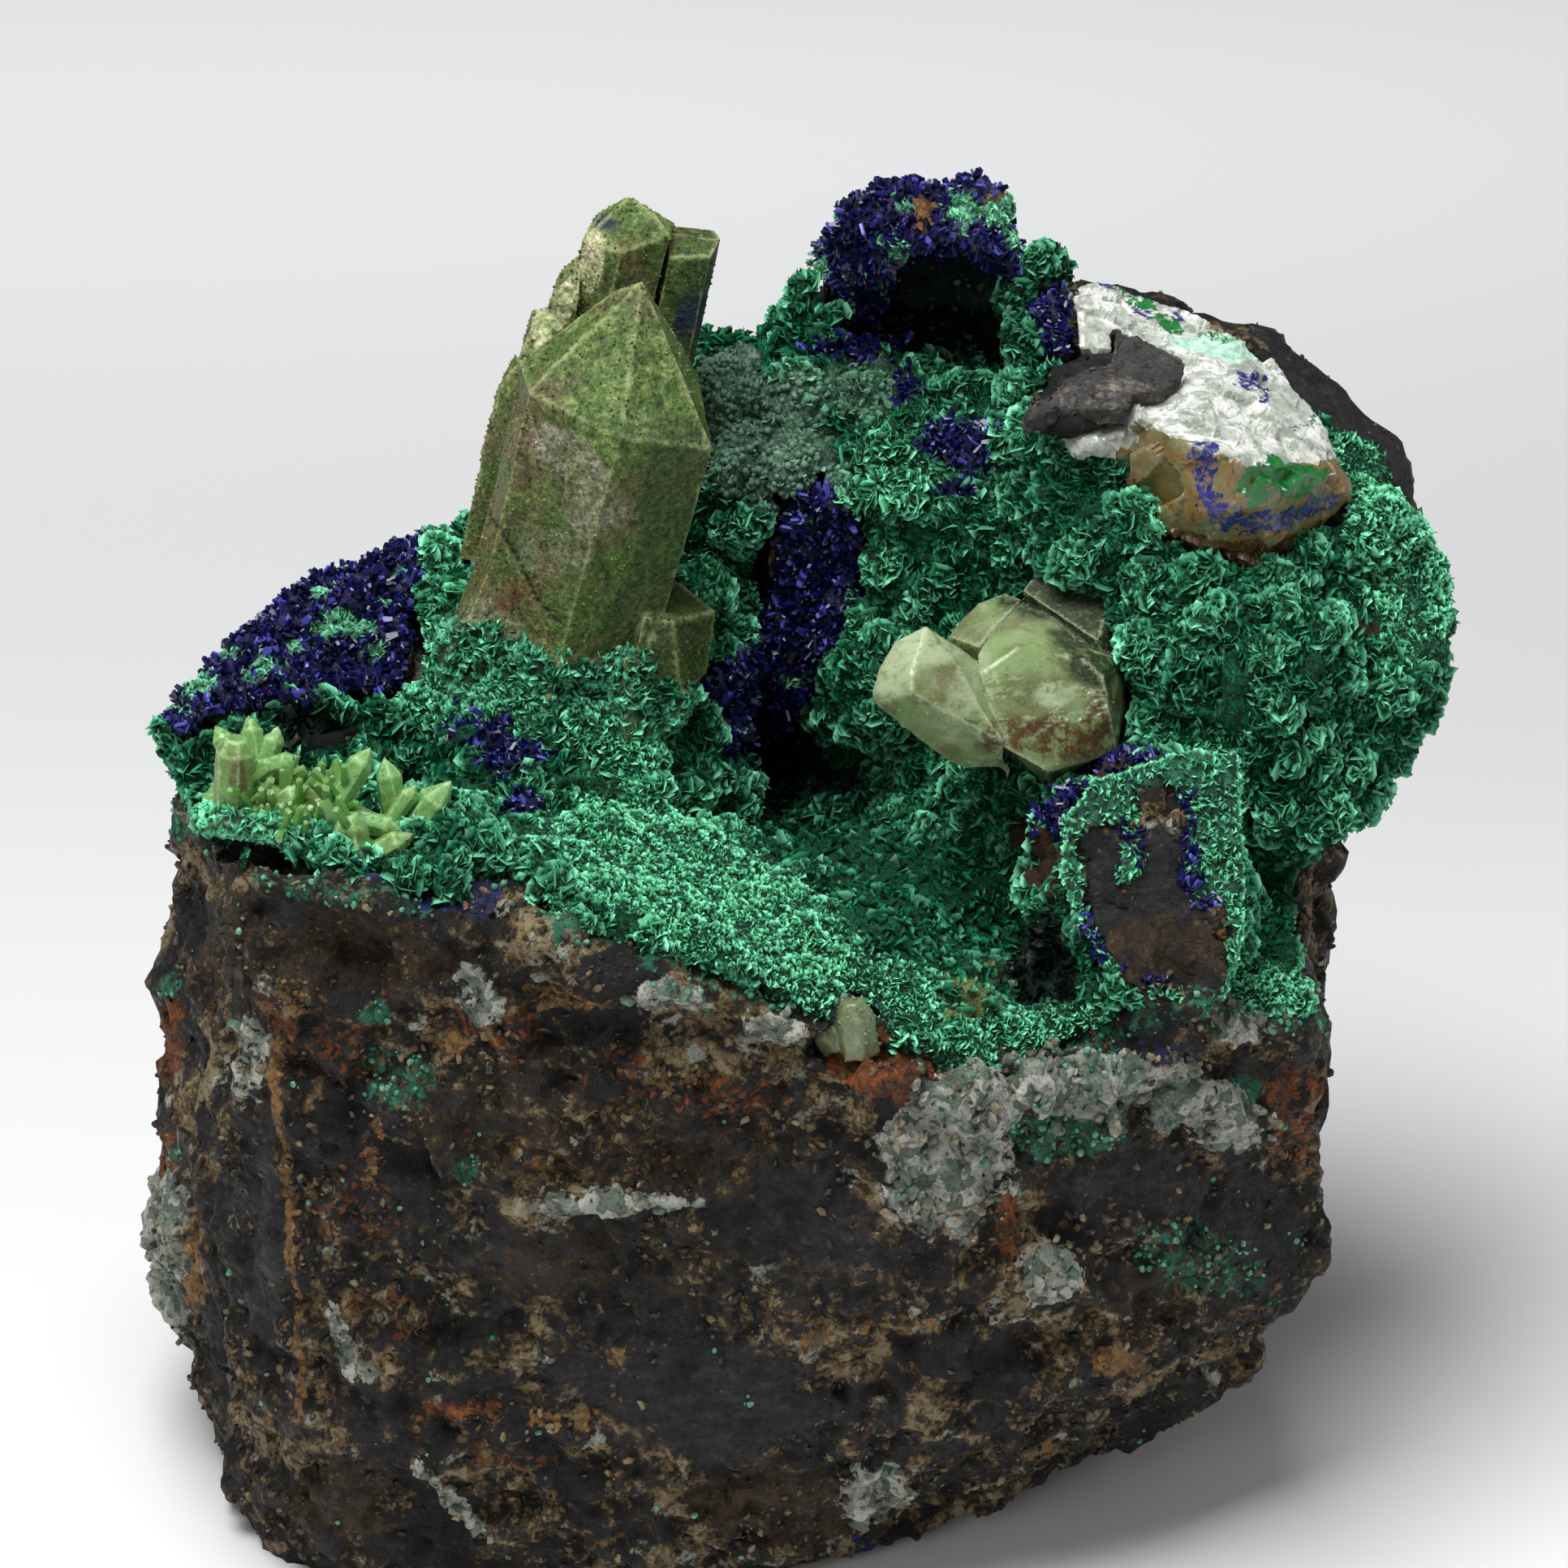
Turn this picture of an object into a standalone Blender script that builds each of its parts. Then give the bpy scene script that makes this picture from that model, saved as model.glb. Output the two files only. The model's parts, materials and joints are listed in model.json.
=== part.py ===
"""Azurite and malachite specimen: a broken block of dark matrix with an open hollow on top.

The hollow is lined by one malachite crust, azurite grows on its rims, and quartz
crystals stand in it. The shapes are worked out in millimetres, with the hollow
opening towards -Y and up, and finished in metres with the origin at the middle
of the flat base.
"""

import math

import bmesh
import bpy
from mathutils import Matrix, Vector, noise

MM = 0.001

BASE_LEVEL = -1.5
ROCK_VOXEL = 0.7
ROCK_TRIANGLES = 2200
ROCK_CRAG = 0.55
COAT_VOXEL = 0.6
COAT_TRIANGLES = 3380
COAT_THICKNESS = 1.25
COAT_KNOB_SIZE = 3.4
COAT_KNOB_HEIGHT = 1.1
COAT_KNOB_MIDDLE = 0.55
COAT_KNOB_REACH = 0.9
UNDER_TRIANGLES = 1900
CLEARANCE = 0.5
CROWN_CLEARANCE = 0.85
CROWN_FLOOR = 49.5
CRUST_GAP = 0.45
CRYSTAL_CLEARANCE = 0.35
SWEEP_SLOPE = math.tan(math.radians(25.0))
BALL_DETAIL = 3
# Relief of the broken matrix: its forms, their sizes and how much each counts.
CRAG_BROAD_SIZE = 9.0
CRAG_BROAD = (1.0, 2.1, 3)
CRAG_LEDGE_SIZE = (14.0, 14.0, 3.2)
CRAG_CHIP_SIZE = (3.4, 3.4, 2.2)
CRAG_BROAD_SHARE = 0.9
CRAG_LEDGE_SHARE = 0.8
CRAG_CHIP_SHARE = 0.35
# Faces closer to one plane than this are joined after the cuts, the widest angle first.
FLAT_ANGLES = (math.radians(1.0), math.radians(0.5), math.radians(0.2), math.radians(0.05))
SOCKET_FLAT_ANGLE = math.radians(3.0)
SLIVER_WIDTH = 0.01

# Fracture chunks that make up the matrix, each the convex hull of its corners.
HEART = [
    (-24, -14, -2), (-20, -16.3, -2), (-10, -16.8, -2), (-2, -16, -2), (5, -5, -2),
    (11, 1, -2), (16.5, 3, -2), (18.5, 8, -2), (14, 15, -2), (0, 18, -2), (-16, 15, -2),
    (-24, 6, -2), (-25.5, -6, -2), (-21.6, -17, 2.2), (-10, -18.5, 3), (1, -18.4, 2.4),
    (8, -14.5, 2.9), (11.5, -8, 0.6), (15.6, -6, -0.6), (18.2, -7.6, 1.2), (-30.5, -2, 7), (-29.3, -3, 2.8),
    (21.6, -8, 4.6), (22.8, -8.4, 8), (24.8, -10, 12),
    (24.8, 4, 10), (-22, -17.5, 12), (-8, -19.5, 12), (6, -20, 12), (15, -16.5, 10),
    (20, 18, 14), (0, 20.5, 12), (-20, 17.5, 14), (-29, 8, 12), (-23.6, -17, 27),
    (-10, -19, 27.5), (2, -19.8, 26.5), (8.3, -19, 25.4), (14, -17, 25.6), (23.6, -12, 26),
    (24, -4, 26.2), (25.2, 2, 25.6), (25.4, 12, 28), (8, 19, 28), (-16, 17, 28),
    (-28.6, -4, 27), (-27.5, 6, 27),
]
APRON = [
    (-23.8, -16.9, 35.8), (-20, -17.9, 35.2), (-15, -17.9, 34.2), (-11.4, -18.4, 33.8),
    (-6.5, -18.9, 32.2), (-2.3, -19.4, 31.3), (1.2, -19.4, 29.2), (8.3, -18.6, 26),
    (-9.6, -10, 33.6), (-4.2, -8, 32.6), (-0.2, -6.8, 30.2), (4.2, -8.4, 29.4),
    (7.8, -10.4, 28.4), (-24.6, -10, 34.6), (-17, -10, 33.4), (-27, -6, 33),
    (-24, -17, 22), (0, -19.5, 22), (-27, -4, 22), (-10, -2, 22), (0, 0, 23), (7, -5, 23),
]
LEFT_RIDGE = [
    (-27.2, -6, 37), (-25.5, -3, 38.4), (-23.5, 0, 39.2), (-21, 2, 39.6), (-19.5, 4, 39.6),
    (-16.8, 6, 39.8), (-13.5, 6.5, 39.8), (-26.4, 4, 33), (-20, 13.5, 34), (-9, 15, 37),
    (-11, 10, 41), (-28, -5, 30), (-28, 5, 22), (-18, 16, 22), (-8, 18, 22), (-14, -2, 22),
    (-25, -7, 33.5), (-20, -2.5, 33.5), (-14, -2, 33.5),
]
CENTRE_MOUND = [
    (-15.5, -7.5, 32.5), (-14.6, -5.6, 35.8), (-13.2, -2, 38), (-9.7, -3.8, 37.8),
    (-7, -3.6, 36), (-4.5, -0.6, 33.6), (-9.7, -7.6, 34.8), (-6, 2.5, 38), (-13, 4, 39.8),
    (-8, 8.5, 41), (-2.6, 7.5, 37), (-15.5, -7.5, 22), (-3, -6, 22), (-1, 8, 22),
    (-14, 8, 22),
]
BACK_WALL = [
    (-8, 12, 43.4), (-4, 13, 45.2), (-2.2, 14, 45.8), (0, 14.8, 47), (1.3, 12.4, 44.6),
    (5, 11.8, 44.6), (9, 10.8, 45.2), (13, 8.5, 46), (-4, 16, 46), (0, 18, 47),
    (14, 17, 46.5), (-3, 11.6, 41.4), (1.3, 12, 37.4), (5, 11, 40), (8.8, 8.8, 40.6),
    (12.5, 6.4, 42), (0, 10.6, 31), (-8, 11, 22), (2, 12, 22), (12, 8, 22), (-6, 18.5, 38),
    (2, 19.5, 42), (14, 19.5, 44), (-8, 19, 22), (14, 20, 22),
]
CAVE_BACK = [
    (-0.7, 15.6, 46.4), (1.7, 16, 50.2), (2.8, 16.4, 52.4), (4, 17, 53.4), (9.6, 17, 52.8),
    (11.8, 17, 51), (14.4, 15.4, 49.2), (0.4, 20.4, 45), (3.6, 21.2, 52), (9.4, 20.8, 51.4),
    (13, 20.8, 49), (0, 20.6, 38),
    (14, 21, 38), (0, 17.2, 42), (14, 17, 42),
]
CROWN_LIP = [
    (3.6, 13.8, 54), (4.6, 13.4, 55), (5.8, 13.4, 55), (7.4, 13.4, 55), (9.2, 13.2, 54.8),
    (10.6, 13.2, 53.4), (4.8, 13, 54.4), (8.8, 12.8, 54.4), (3.4, 18.4, 52.8),
    (10.8, 18.4, 51.4), (6.4, 18.6, 53.2),
]
CROWN_LEFT = [
    (3, 13, 52.2), (3.6, 12.6, 53.6), (4, 12.4, 53.2), (4, 12.8, 51.8), (3.2, 13.2, 50.6),
    (2.2, 14.4, 50.2), (1.8, 17.4, 51), (4, 17.2, 52.4), (3.2, 13.4, 49.4), (1.4, 15.4, 48.4),
    (2.6, 14.2, 48.6),
]
CROWN_RIGHT = [
    (10.4, 12, 53.6), (11.2, 11.8, 53.2), (11.8, 12, 52.4), (13.2, 11.8, 51.2), (13.2, 10, 50),
    (13, 9.6, 47.4), (14.6, 9.4, 50.4), (14.8, 6.6, 47), (11.8, 12.8, 51.8), (14, 16.4, 49.2),
    (13.6, 15.6, 46), (16, 12.6, 50.6), (12.6, 12.4, 47),
]
RIGHT_WALL = [
    (14.3, 12.6, 52), (16.1, 13.4, 51.3), (17.6, 14.8, 50.5), (20.5, 15.3, 49.3),
    (22.3, 15.3, 48.4), (24.1, 15, 47.3), (25.7, 14.8, 46.3), (27.7, 14.3, 45.2),
    (29, 13.8, 44.3), (30.1, 12.8, 43.4), (30, 9.8, 41.4), (30.2, 7.6, 40.4), (29.8, 6, 39.4),
    (13.4, 7.4, 49.4), (15.4, 4.6, 47.4), (22, 2.9, 44), (26.6, 3.6, 41), (28.8, 5.4, 37.6),
    (14, 18.8, 46), (22, 18.4, 43), (28, 16.4, 38), (13, 6.8, 40), (17, 3.4, 39),
    (24, 1.6, 37), (28.4, 3.4, 34), (25, 14, 24), (12, 17, 24),
]
RIM_SLOPE = [
    (15.2, 11.6, 51.2), (18, 10.6, 49.6), (22, 9.6, 48.4), (25, 7.6, 46.2), (28, 8.6, 43.6),
    (29.8, 11.8, 43), (17.6, 14.8, 50.4), (24.1, 15, 47.2), (29, 13.8, 44.2), (16, 6.6, 47.6),
    (22, 6, 45), (26, 6, 43), (17, 14, 42), (28, 12, 38),
]
RIGHT_BULGE = [
    (14.4, 3.2, 40), (17.5, 1.6, 39.4), (19.6, -0.4, 37), (23.3, -0.4, 37), (26.6, 1.8, 36),
    (19.6, -1.6, 34.6), (23.4, -1, 34), (26.8, 0.8, 32.6), (17.4, -3.4, 33),
    (12.2, -0.2, 29.4), (8.8, 2.8, 29), (6, 5, 29.6), (13, 4.8, 38), (6, 4, 22),
    (13, -3, 22), (22, -2.6, 24), (25.6, 2, 24), (24, 12, 24), (8, 12, 22),
]
FIN = [
    (13.4, -10.2, 34), (15.1, -9.9, 35.4), (17.3, -9.4, 35.4), (19, -6.8, 35.6),
    (19.4, -7.4, 35.2), (19.5, -8.8, 32.6), (19.3, -11.6, 29.6), (18.8, -14, 28.2),
    (16, -14.6, 28.4), (13.6, -12.2, 30.4), (12.9, -10.6, 33), (15.9, -12, 31.2),
    (18.9, -12.2, 30.2), (18, -15.8, 26.4), (14, -15.8, 26.2), (13, -4.4, 33), (18.6, -4, 34.2),
    (11.4, -14.6, 22), (19, -13, 22), (18.6, -3, 22), (11.4, -3, 22),
]
# A slab of bare matrix on the rim and the fin's broken face, which the crust stops short of.
SLAB = [
    (12.6, 6.8, 50.1), (15, 7.5, 50.2), (16.4, 8.6, 50.7), (18.2, 7.2, 50), (17.8, 5.6, 49.6),
    (15.5, 3.7, 49.2), (13.8, 3.2, 49.2), (12.2, 3.2, 49.2), (10.9, 2.9, 49.3),
    (10.9, 3.1, 48.6), (13.1, 3.6, 48), (15.3, 4, 48), (15, 8.6, 46.4), (18, 8.4, 46),
    (12.8, 8.6, 46.8),
]
FIN_BODY = [
    (13.3, 27.2), (13.2, 24.9), (13.9, 23.9), (15.6, 22.2), (15.9, 20.8), (18.7, 20.7),
    (19.5, 23.5), (19.8, 25), (19.6, 26), (17.3, 27.4),
]
FIN_LEFT_POST = [(13.1, 26.6), (13.2, 29.6), (14.9, 30.1), (15.1, 26.6)]
FIN_RIGHT_POST = [
    (15.7, 26.8), (15.5, 31.6), (17.3, 31.5), (17.9, 30.5), (17.9, 28.8), (17.3, 26.8),
]
FIN_FACE_DEPTH = 3.0
FIN_FACE_SLOPE = 0.511
FIN_FACE_START = -26.7
FIN_FACE_LIFT = 0.2
FIN_FACE_INWARD = Vector((0.0, 0.83, -0.56))
# Knobs of matrix under the malachite, as centre and radius.
LUMPS = [
    (13.7, 3.8, 43.1, 2.0), (15.5, 3.1, 42.3, 1.9), (18.8, 2.3, 41.0, 2.1), (21.8, 2.3, 40.6, 2.4),
    (25.9, 4.3, 42.0, 1.9), (27.9, 5.6, 40.2, 2.0), (28.3, 4.6, 38.3, 2.0), (22.5, -1.8, 38.6, 2.6),
    (20.0, -1.0, 38.7, 2.0), (17.8, 0.3, 38.7, 1.9), (19.1, -2.1, 36.7, 2.1), (22.0, -2.3, 36.4, 2.1),
    (27.4, 1.7, 37.5, 2.2), (27.4, 0.5, 35.5, 2.1), (22.4, -3.0, 34.4, 2.0), (24.7, -1.8, 33.5, 2.0),
    (23.1, -3.5, 32.5, 2.2), (24.8, -2.7, 30.9, 1.6), (10.7, -0.1, 30.3, 2.2), (11.0, -3.2, 27.7, 2.0),
    (8.0, -2.9, 27.5, 1.8), (9.3, -5.8, 26.3, 1.7), (13.6, 5.6, 44.8, 1.7), (5.1, 10.4, 43.9, 2.0),
    (8.1, 9.3, 41.9, 1.9), (4.4, 10.2, 40.3, 2.0), (11.8, 8.1, 46.5, 1.8), (8.5, 7.7, 38.4, 1.9),
    (5.5, 6.2, 34.5, 2.0), (-2.5, 12.9, 44.5, 2.2), (-0.2, 12.3, 42.3, 2.2), (-2.3, 11.0, 41.2, 2.0),
]
# Azurite that stands out past the coat: the lip over the cave and its left shoulder.
BLUE_MASSES = [
    [
        (3.1, 10.6, 56.6), (4.4, 10.6, 57.2), (5.8, 9.4, 56.8), (7.4, 9, 56), (9, 9.6, 55.1),
        (10.2, 10.4, 54.4), (5.8, 8.5, 55.3), (7.2, 8.3, 55.1), (8.7, 8.7, 54.6),
        (10, 9.5, 53.8), (4.8, 9.2, 54.8), (5.2, 13.6, 56.4), (9.2, 13.4, 54.9), (4.6, 12.6, 54.2),
        (10.4, 12.6, 53.8), (5.6, 10, 54.7), (8.8, 10, 54.6),
    ],
    [
        (1.9, 12, 53.6), (1.9, 12, 54.9), (2.7, 11.4, 56), (4.2, 10.4, 56.2), (5.3, 9.6, 54.6),
        (5.4, 10.2, 53.2), (4.8, 11.2, 51.8), (3.5, 11.6, 51.4), (2.6, 12.4, 53), (4.6, 13.6, 54),
        (2.7, 13.8, 53),
    ],
]
# Hollows in the matrix, as centre and radii.
HOLLOWS = [
    ((-20.4, -7.6, 36.6), (4.6, 4.4, 3.2)),
    ((7.0, 13.6, 49.7), (5.7, 4.8, 3.6)),
    ((0.2, 5.2, 28.6), (6.2, 5.4, 4.2)),
    ((10.6, -7.4, 27.6), (3.4, 4.4, 3.0)),
    ((21.6, -6.6, 31.0), (1.3, 4.6, 5.0)),
]

# Outlines (x, height where the sweep meets y = 0) of what each crust covers.
LINING_OUTLINE = [
    (-28.5, 33.6), (-27.6, 32.2), (-27.0, 30.3), (-25.3, 29.9), (-23.5, 29.9), (-22.1, 29.6),
    (-20.1, 28.6), (-19.3, 27.7), (-17.7, 28.1), (-16.1, 27.0), (-14.8, 26.7), (-12.9, 28.0),
    (-11.3, 27.8), (-10.7, 26.9), (-10.0, 25.2), (-8.5, 24.6), (-7.0, 25.2), (-6.0, 24.2),
    (-4.5, 23.9), (-3.0, 22.8), (-0.6, 22.3), (0.5, 21.7), (1.2, 20.9), (3.2, 20.9),
    (4.7, 20.1), (6.7, 18.7), (8.6, 17.8), (11.4, 18.4), (12.3, 19.5), (14.8, 20.1),
    (15.9, 20.8), (17.7, 21.4), (19.6, 21.6), (21.1, 20.8), (23.8, 21.2), (23.4, 23.5),
    (23.3, 24.7), (23.9, 27.8), (25.7, 29.5), (27.0, 30.5), (28.7, 31.9), (29.2, 34.5),
    (30.4, 37.4), (31.4, 39.3), (32.6, 40.4), (32.4, 42.6), (30.1, 43.1), (29.6, 44.7),
    (28.5, 46.1), (28.1, 48.5), (27.1, 49.6), (25.4, 50.0), (24.3, 51.0), (22.2, 53.0),
    (20.1, 54.1), (18.8, 55.1), (16.0, 57.4), (14.5, 59.5), (12.2, 61.0), (9.1, 63.0),
    (3.5, 63.8), (0.3, 61.6), (-1.0, 58.3), (-4.4, 55.1), (-7.1, 53.9), (-10.1, 48.8),
    (-13.9, 45.3), (-18.3, 44.6), (-21.8, 43.0), (-25.8, 39.6), (-27.8, 37.1), (-28.8, 35.9),
]
LEFT_AZURITE_OUTLINE = [
    (-29.8, 36.3), (-27.5, 34.4), (-26.6, 34.2), (-25.5, 35.1), (-24.2, 35.1), (-23.1, 35.9),
    (-21.7, 35.5), (-20.7, 36.3), (-19.4, 36.4), (-18.3, 36.0), (-17.3, 37.0), (-17.1, 39.0),
    (-17.0, 40.8), (-16.7, 42.7), (-15.9, 46.6), (-18.3, 47.2), (-21.8, 45.0), (-24.5, 42.9),
    (-27.3, 40.8), (-29.8, 38.6),
]
CROWN_AZURITE_OUTLINE = [
    (-0.6, 59.4), (1.4, 58.2), (2.0, 57.4), (2.8, 56.4), (3.6, 55.5), (4.5, 55.9), (5.0, 57.2),
    (5.7, 59.1), (6.8, 59.2), (8.7, 59.2), (9.9, 58.4), (10.8, 57.4), (11.1, 58.8), (12.9, 60.4),
    (10.5, 64.4), (3.9, 65.6), (-0.3, 64.0),
]
TUFT_AZURITE_OUTLINE = [
    (11.3, 56.2), (12.0, 54.3), (12.5, 53.5), (13.3, 53.7), (13.5, 55.1), (13.9, 56.7),
    (13.2, 57.1), (12.2, 56.8),
]
BAND_AZURITE_OUTLINE = [
    (0.3, 46.6), (1.7, 47.1), (3.3, 45.9), (3.7, 43.3), (3.2, 41.0), (2.1, 38.7), (1.2, 36.6),
    (0.0, 34.2), (-2.3, 33.2), (-4.3, 33.9), (-5.0, 35.2), (-4.3, 36.5), (-2.7, 37.4),
    (-1.4, 39.5), (-0.6, 42.1), (-0.3, 44.6),
]
# How far each sweep goes, as its nearest and farthest y.
LINING_REACH = (-26.0, 16.6)
LEFT_AZURITE_REACH = (-12.0, 8.5)
CROWN_AZURITE_REACH = (6.0, 16.6)
TUFT_AZURITE_REACH = (4.0, 13.0)
BAND_AZURITE_REACH = (0.5, 13.5)
VEIN_WINDOW_REACH = (1.5, 18.0)
# The crust leaves the vein, the slab and the matrix beyond them bare.
VEIN_WINDOW = [
    (13.0, 58.8), (13.3, 56.2), (13.0, 53.9), (12.2, 52.0), (11.6, 50.6), (12.2, 49.9),
    (15.2, 49.8), (17.0, 50.6), (24.6, 50.4), (26.2, 51.2), (24.4, 54.5), (21.0, 57.2),
    (18.0, 60.0), (15.0, 62.5),
]
# Space behind the specimen's rim, where the crust gives out.
BEHIND = [
    [
        (-35, 3, 18), (-35, 3, 32), (-35, 11, 38), (-35, 26, 38), (-35, 26, 18), (-7, 9, 18),
        (-7, 9, 34), (-5, 13.5, 41), (-5, 26, 41), (-5, 26, 18),
    ],
    [
        (25, 5, 8), (40, 3, 8), (25, 5, 29), (40, 3, 31), (40, 8, 41), (25, 11, 45),
        (19, 12, 28), (19, 13, 45), (19, 30, 8), (40, 30, 8), (40, 30, 45), (19, 30, 49),
    ],
]

# Finish of each node: colour and roughness.
FINISHES = {
    "matrix_rock": ((0.055, 0.043, 0.036), 0.85),
    "malachite_crust": ((0.02, 0.24, 0.12), 0.6),
    "azurite_left_rim": ((0.012, 0.016, 0.17), 0.3),
    "azurite_crown": ((0.012, 0.016, 0.17), 0.3),
    "azurite_tuft": ((0.012, 0.016, 0.17), 0.3),
    "azurite_band": ((0.012, 0.016, 0.17), 0.3),
    "quartz_points": ((0.2, 0.21, 0.08), 0.5),
    "side_quartz_pair": ((0.3, 0.36, 0.14), 0.25),
    "white_quartz_vein": ((0.75, 0.74, 0.68), 0.15),
    "small_quartz_spray": ((0.22, 0.34, 0.08), 0.25),
    "rim_quartz": ((0.5, 0.4, 0.34), 0.3),
}

# The large quartz point: its shoulder corners in order round the prism, and its end.
POINT_SHOULDERS = [
    (-7.2, -4.0, 50.5), (-3.2, -2.6, 49.4), (-3.9, 4.4, 50.2), (-9.0, 5.6, 51.3),
    (-11.9, 1.4, 52.0), (-11.4, -1.8, 51.8),
]
POINT_ENDS = [(-6.3, 1.0, 56.0), (-7.6, 1.5, 55.3)]
QUARTZ_LEAN = Vector((-0.27, 0.0, -1.0))
POINT_LENGTH = 14.0
REAR_POINT = [
    (-9.2, 8, 55.4), (-8.4, 9.6, 56.2), (-7.1, 9.4, 57), (-6, 8.6, 56.6), (-5.2, 7.6, 55.8),
    (-5, 9.8, 55.6), (-6.2, 11.6, 55.6), (-8.6, 11.6, 55.4), (-7.4, 6.9, 55.2), (-9.7, 8, 52.6),
    (-13, 8, 40), (-11, 6.9, 40), (-9, 7.6, 40), (-8.8, 9.8, 40), (-9.8, 11.6, 40),
    (-12.4, 11.6, 40),
]
REAR_BLOCK = [
    (-5.3, 9.3, 55.3), (-5.2, 7.7, 54.7), (-3.3, 7.9, 54.7), (-2.9, 9, 55.1), (-3.2, 11, 54.8),
    (-5.6, 11.2, 55), (-8.3, 7.7, 40), (-6.5, 7.9, 40), (-6.1, 9, 40), (-6.4, 11, 40),
    (-8.6, 11.2, 40),
]
REAR_STEPS = [
    [
        (-9.3, 8, 54.1), (-10, 8, 54.1), (-10.7, 7, 52.8), (-9.4, 6.8, 53), (-9.4, 10, 54),
        (-10.4, 9.8, 53), (-13, 7, 42), (-11.4, 6.6, 42), (-12.2, 10, 42),
    ],
    [
        (-10.6, 7, 52.3), (-11.4, 6.8, 51.9), (-12, 6, 50.8), (-10.6, 5.8, 51.2), (-11.6, 9, 51.6),
        (-10.4, 9, 51.9), (-9.2, 4.6, 50.8), (-14.4, 6, 41), (-12.6, 5.6, 41), (-13.6, 9, 41),
        (-11.8, 4.6, 41),
    ],
    [
        (-12, 5.4, 50.6), (-13.4, 5.2, 49.2), (-13.9, 5, 47.6), (-12, 4.2, 49.6), (-12.4, 7.4, 50),
        (-13.7, 7.2, 48), (-15.4, 4.8, 41), (-13.6, 4, 41), (-15, 7.4, 41), (-12.6, 7.4, 41),
    ],
]
STUB = [
    (-5.9, -1, 42), (-4.7, 0, 41.8), (-3.1, -0.5, 40.6), (-5, -3, 41.2), (-6.3, -3, 41.4),
    (-5.4, 1.6, 41.5), (-3.5, -1.5, 38), (-4.6, -3.2, 37.4), (-6.9, -4, 36), (-4, 1.6, 36.6),
    (-8.4, -2, 36), (-7, -3.8, 38.6), (-7.6, 1, 38),
]
# The side pair: a short head turned towards the opening, and the prism it is twinned with.
SIDE_HEAD = [
    (6.4, -4.5, 41.6), (5, -4.8, 41), (4.3, -5.6, 40), (4, -6.2, 39.1), (4.1, -6.4, 38.7),
    (6, -6.8, 37.2), (8.7, -6.4, 34.8), (9.4, -5.6, 33.9), (9, -4.4, 39.5), (7.9, -5.8, 40.1),
    (5.7, -7, 40.4), (5.7, -7.4, 39.7), (9, -6.6, 38.2), (9.9, -6.8, 36.9), (9.2, -1.5, 38.3),
    (6.5, -2.5, 40.7), (5, -3.2, 38.4), (7, -2, 35), (9.5, 0, 34),
]
SIDE_PRISM = [
    (8.8, -5.2, 39.6), (10.5, -4, 40.3), (11.9, -3.2, 40.2), (13.5, -3.6, 39.6), (14.4, -4, 38.9),
    (14.7, -4.6, 37.4), (15.1, -4.6, 35.6), (13.9, -5.4, 35.4), (11.9, -6.4, 35.3),
    (9.9, -6.6, 36.6), (8.8, -3.6, 39.8), (9.4, -1.6, 39.9), (11, 1, 40.5), (11.7, 0.5, 40.2),
    (13.5, -2.2, 39.8), (14.2, -2.6, 39.5), (15.6, -1, 38.4), (15.6, -2, 36.4), (9.2, -1, 34.6),
    (14, 1, 34), (12, -4, 33.6),
]
SIDE_FAR = [
    (11, 1.4, 40.8), (11.4, 2.6, 40.8), (13.2, 4, 40.8), (14.5, 4.8, 40.9), (15.7, 4.8, 40.6),
    (16.5, 3.4, 39.3), (16.5, 3, 38.9), (15.7, 0, 37.9), (14.2, -2.2, 39.9), (15.6, -1, 36),
    (12, 2, 35), (15, 3.4, 35), (16, 1, 36),
]
SIDE_STEP = [
    (7.6, 0.5, 38.9), (8.1, 1.5, 39.2), (9, 2.5, 39.7), (10.2, 3, 40), (10.9, 2.4, 39.9),
    (9.6, 0, 39.6), (8.9, -1.6, 39.3), (7.8, 0.8, 37.6), (10.4, 2.8, 37.4), (9.6, -1.4, 37),
]
# The white quartz: a rounded lump with a broken top, the vein it belongs to, and a grey grain.
KNOB = [
    (18.6, 8, 49.7), (20.9, 9.5, 50.1), (23, 8.5, 48.8), (24.9, 6, 47.4), (25, 5.5, 47),
    (25.4, 4.5, 45.7), (25.8, 3.5, 44.8), (25.3, 3, 44.1), (24.4, 2.4, 43.3), (23.3, 1.6, 42.7),
    (21.3, 1, 42.1), (19.3, 1.2, 42.3), (17.5, 1.8, 43), (16.3, 2.4, 44), (15.7, 3, 44.6),
    (15.7, 4.3, 49), (15.8, 3, 47.9), (17.2, 1.6, 48.6), (19, 0.4, 48.2), (20.7, -0.6, 47.8),
    (23, 0.4, 47.5), (24.3, 1.4, 46.4), (19, -0.4, 45.5), (21.6, -0.8, 45.7), (18, 6.5, 49.5),
    (18, 8, 43), (23, 8, 42.6),
]
VEIN = [
    (13.5, 11.3, 52.2), (15.2, 12.3, 52), (16.9, 11.8, 50.9), (18.9, 10.5, 50.2), (22, 10, 49.2),
    (23.6, 9, 48.3), (18.7, 7.5, 49.7), (17.5, 8.5, 50.3), (15.2, 9.4, 50.9), (13.6, 9.4, 51.4),
    (14.4, 11.6, 49.6), (22.4, 9.4, 46.6), (18.4, 8.6, 48),
]
VEIN_END = [
    (13.5, 7.5, 50.3), (15, 7.6, 50.2), (15.3, 9.6, 51), (13.5, 10, 51.7), (13.8, 8, 48.8),
    (15, 9.4, 49),
]
GREY_GRAIN = [
    (12.5, 3.4, 47.5), (12.9, 3.8, 48.2), (14.4, 3.2, 48.1), (15.9, 3.4, 48), (14.2, 2.2, 46.9),
    (13, 2.4, 46.9), (14.1, 1.8, 47.8), (16.2, 3, 46.6), (14, 5, 46.8), (16.4, 5, 47.4),
]
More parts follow.
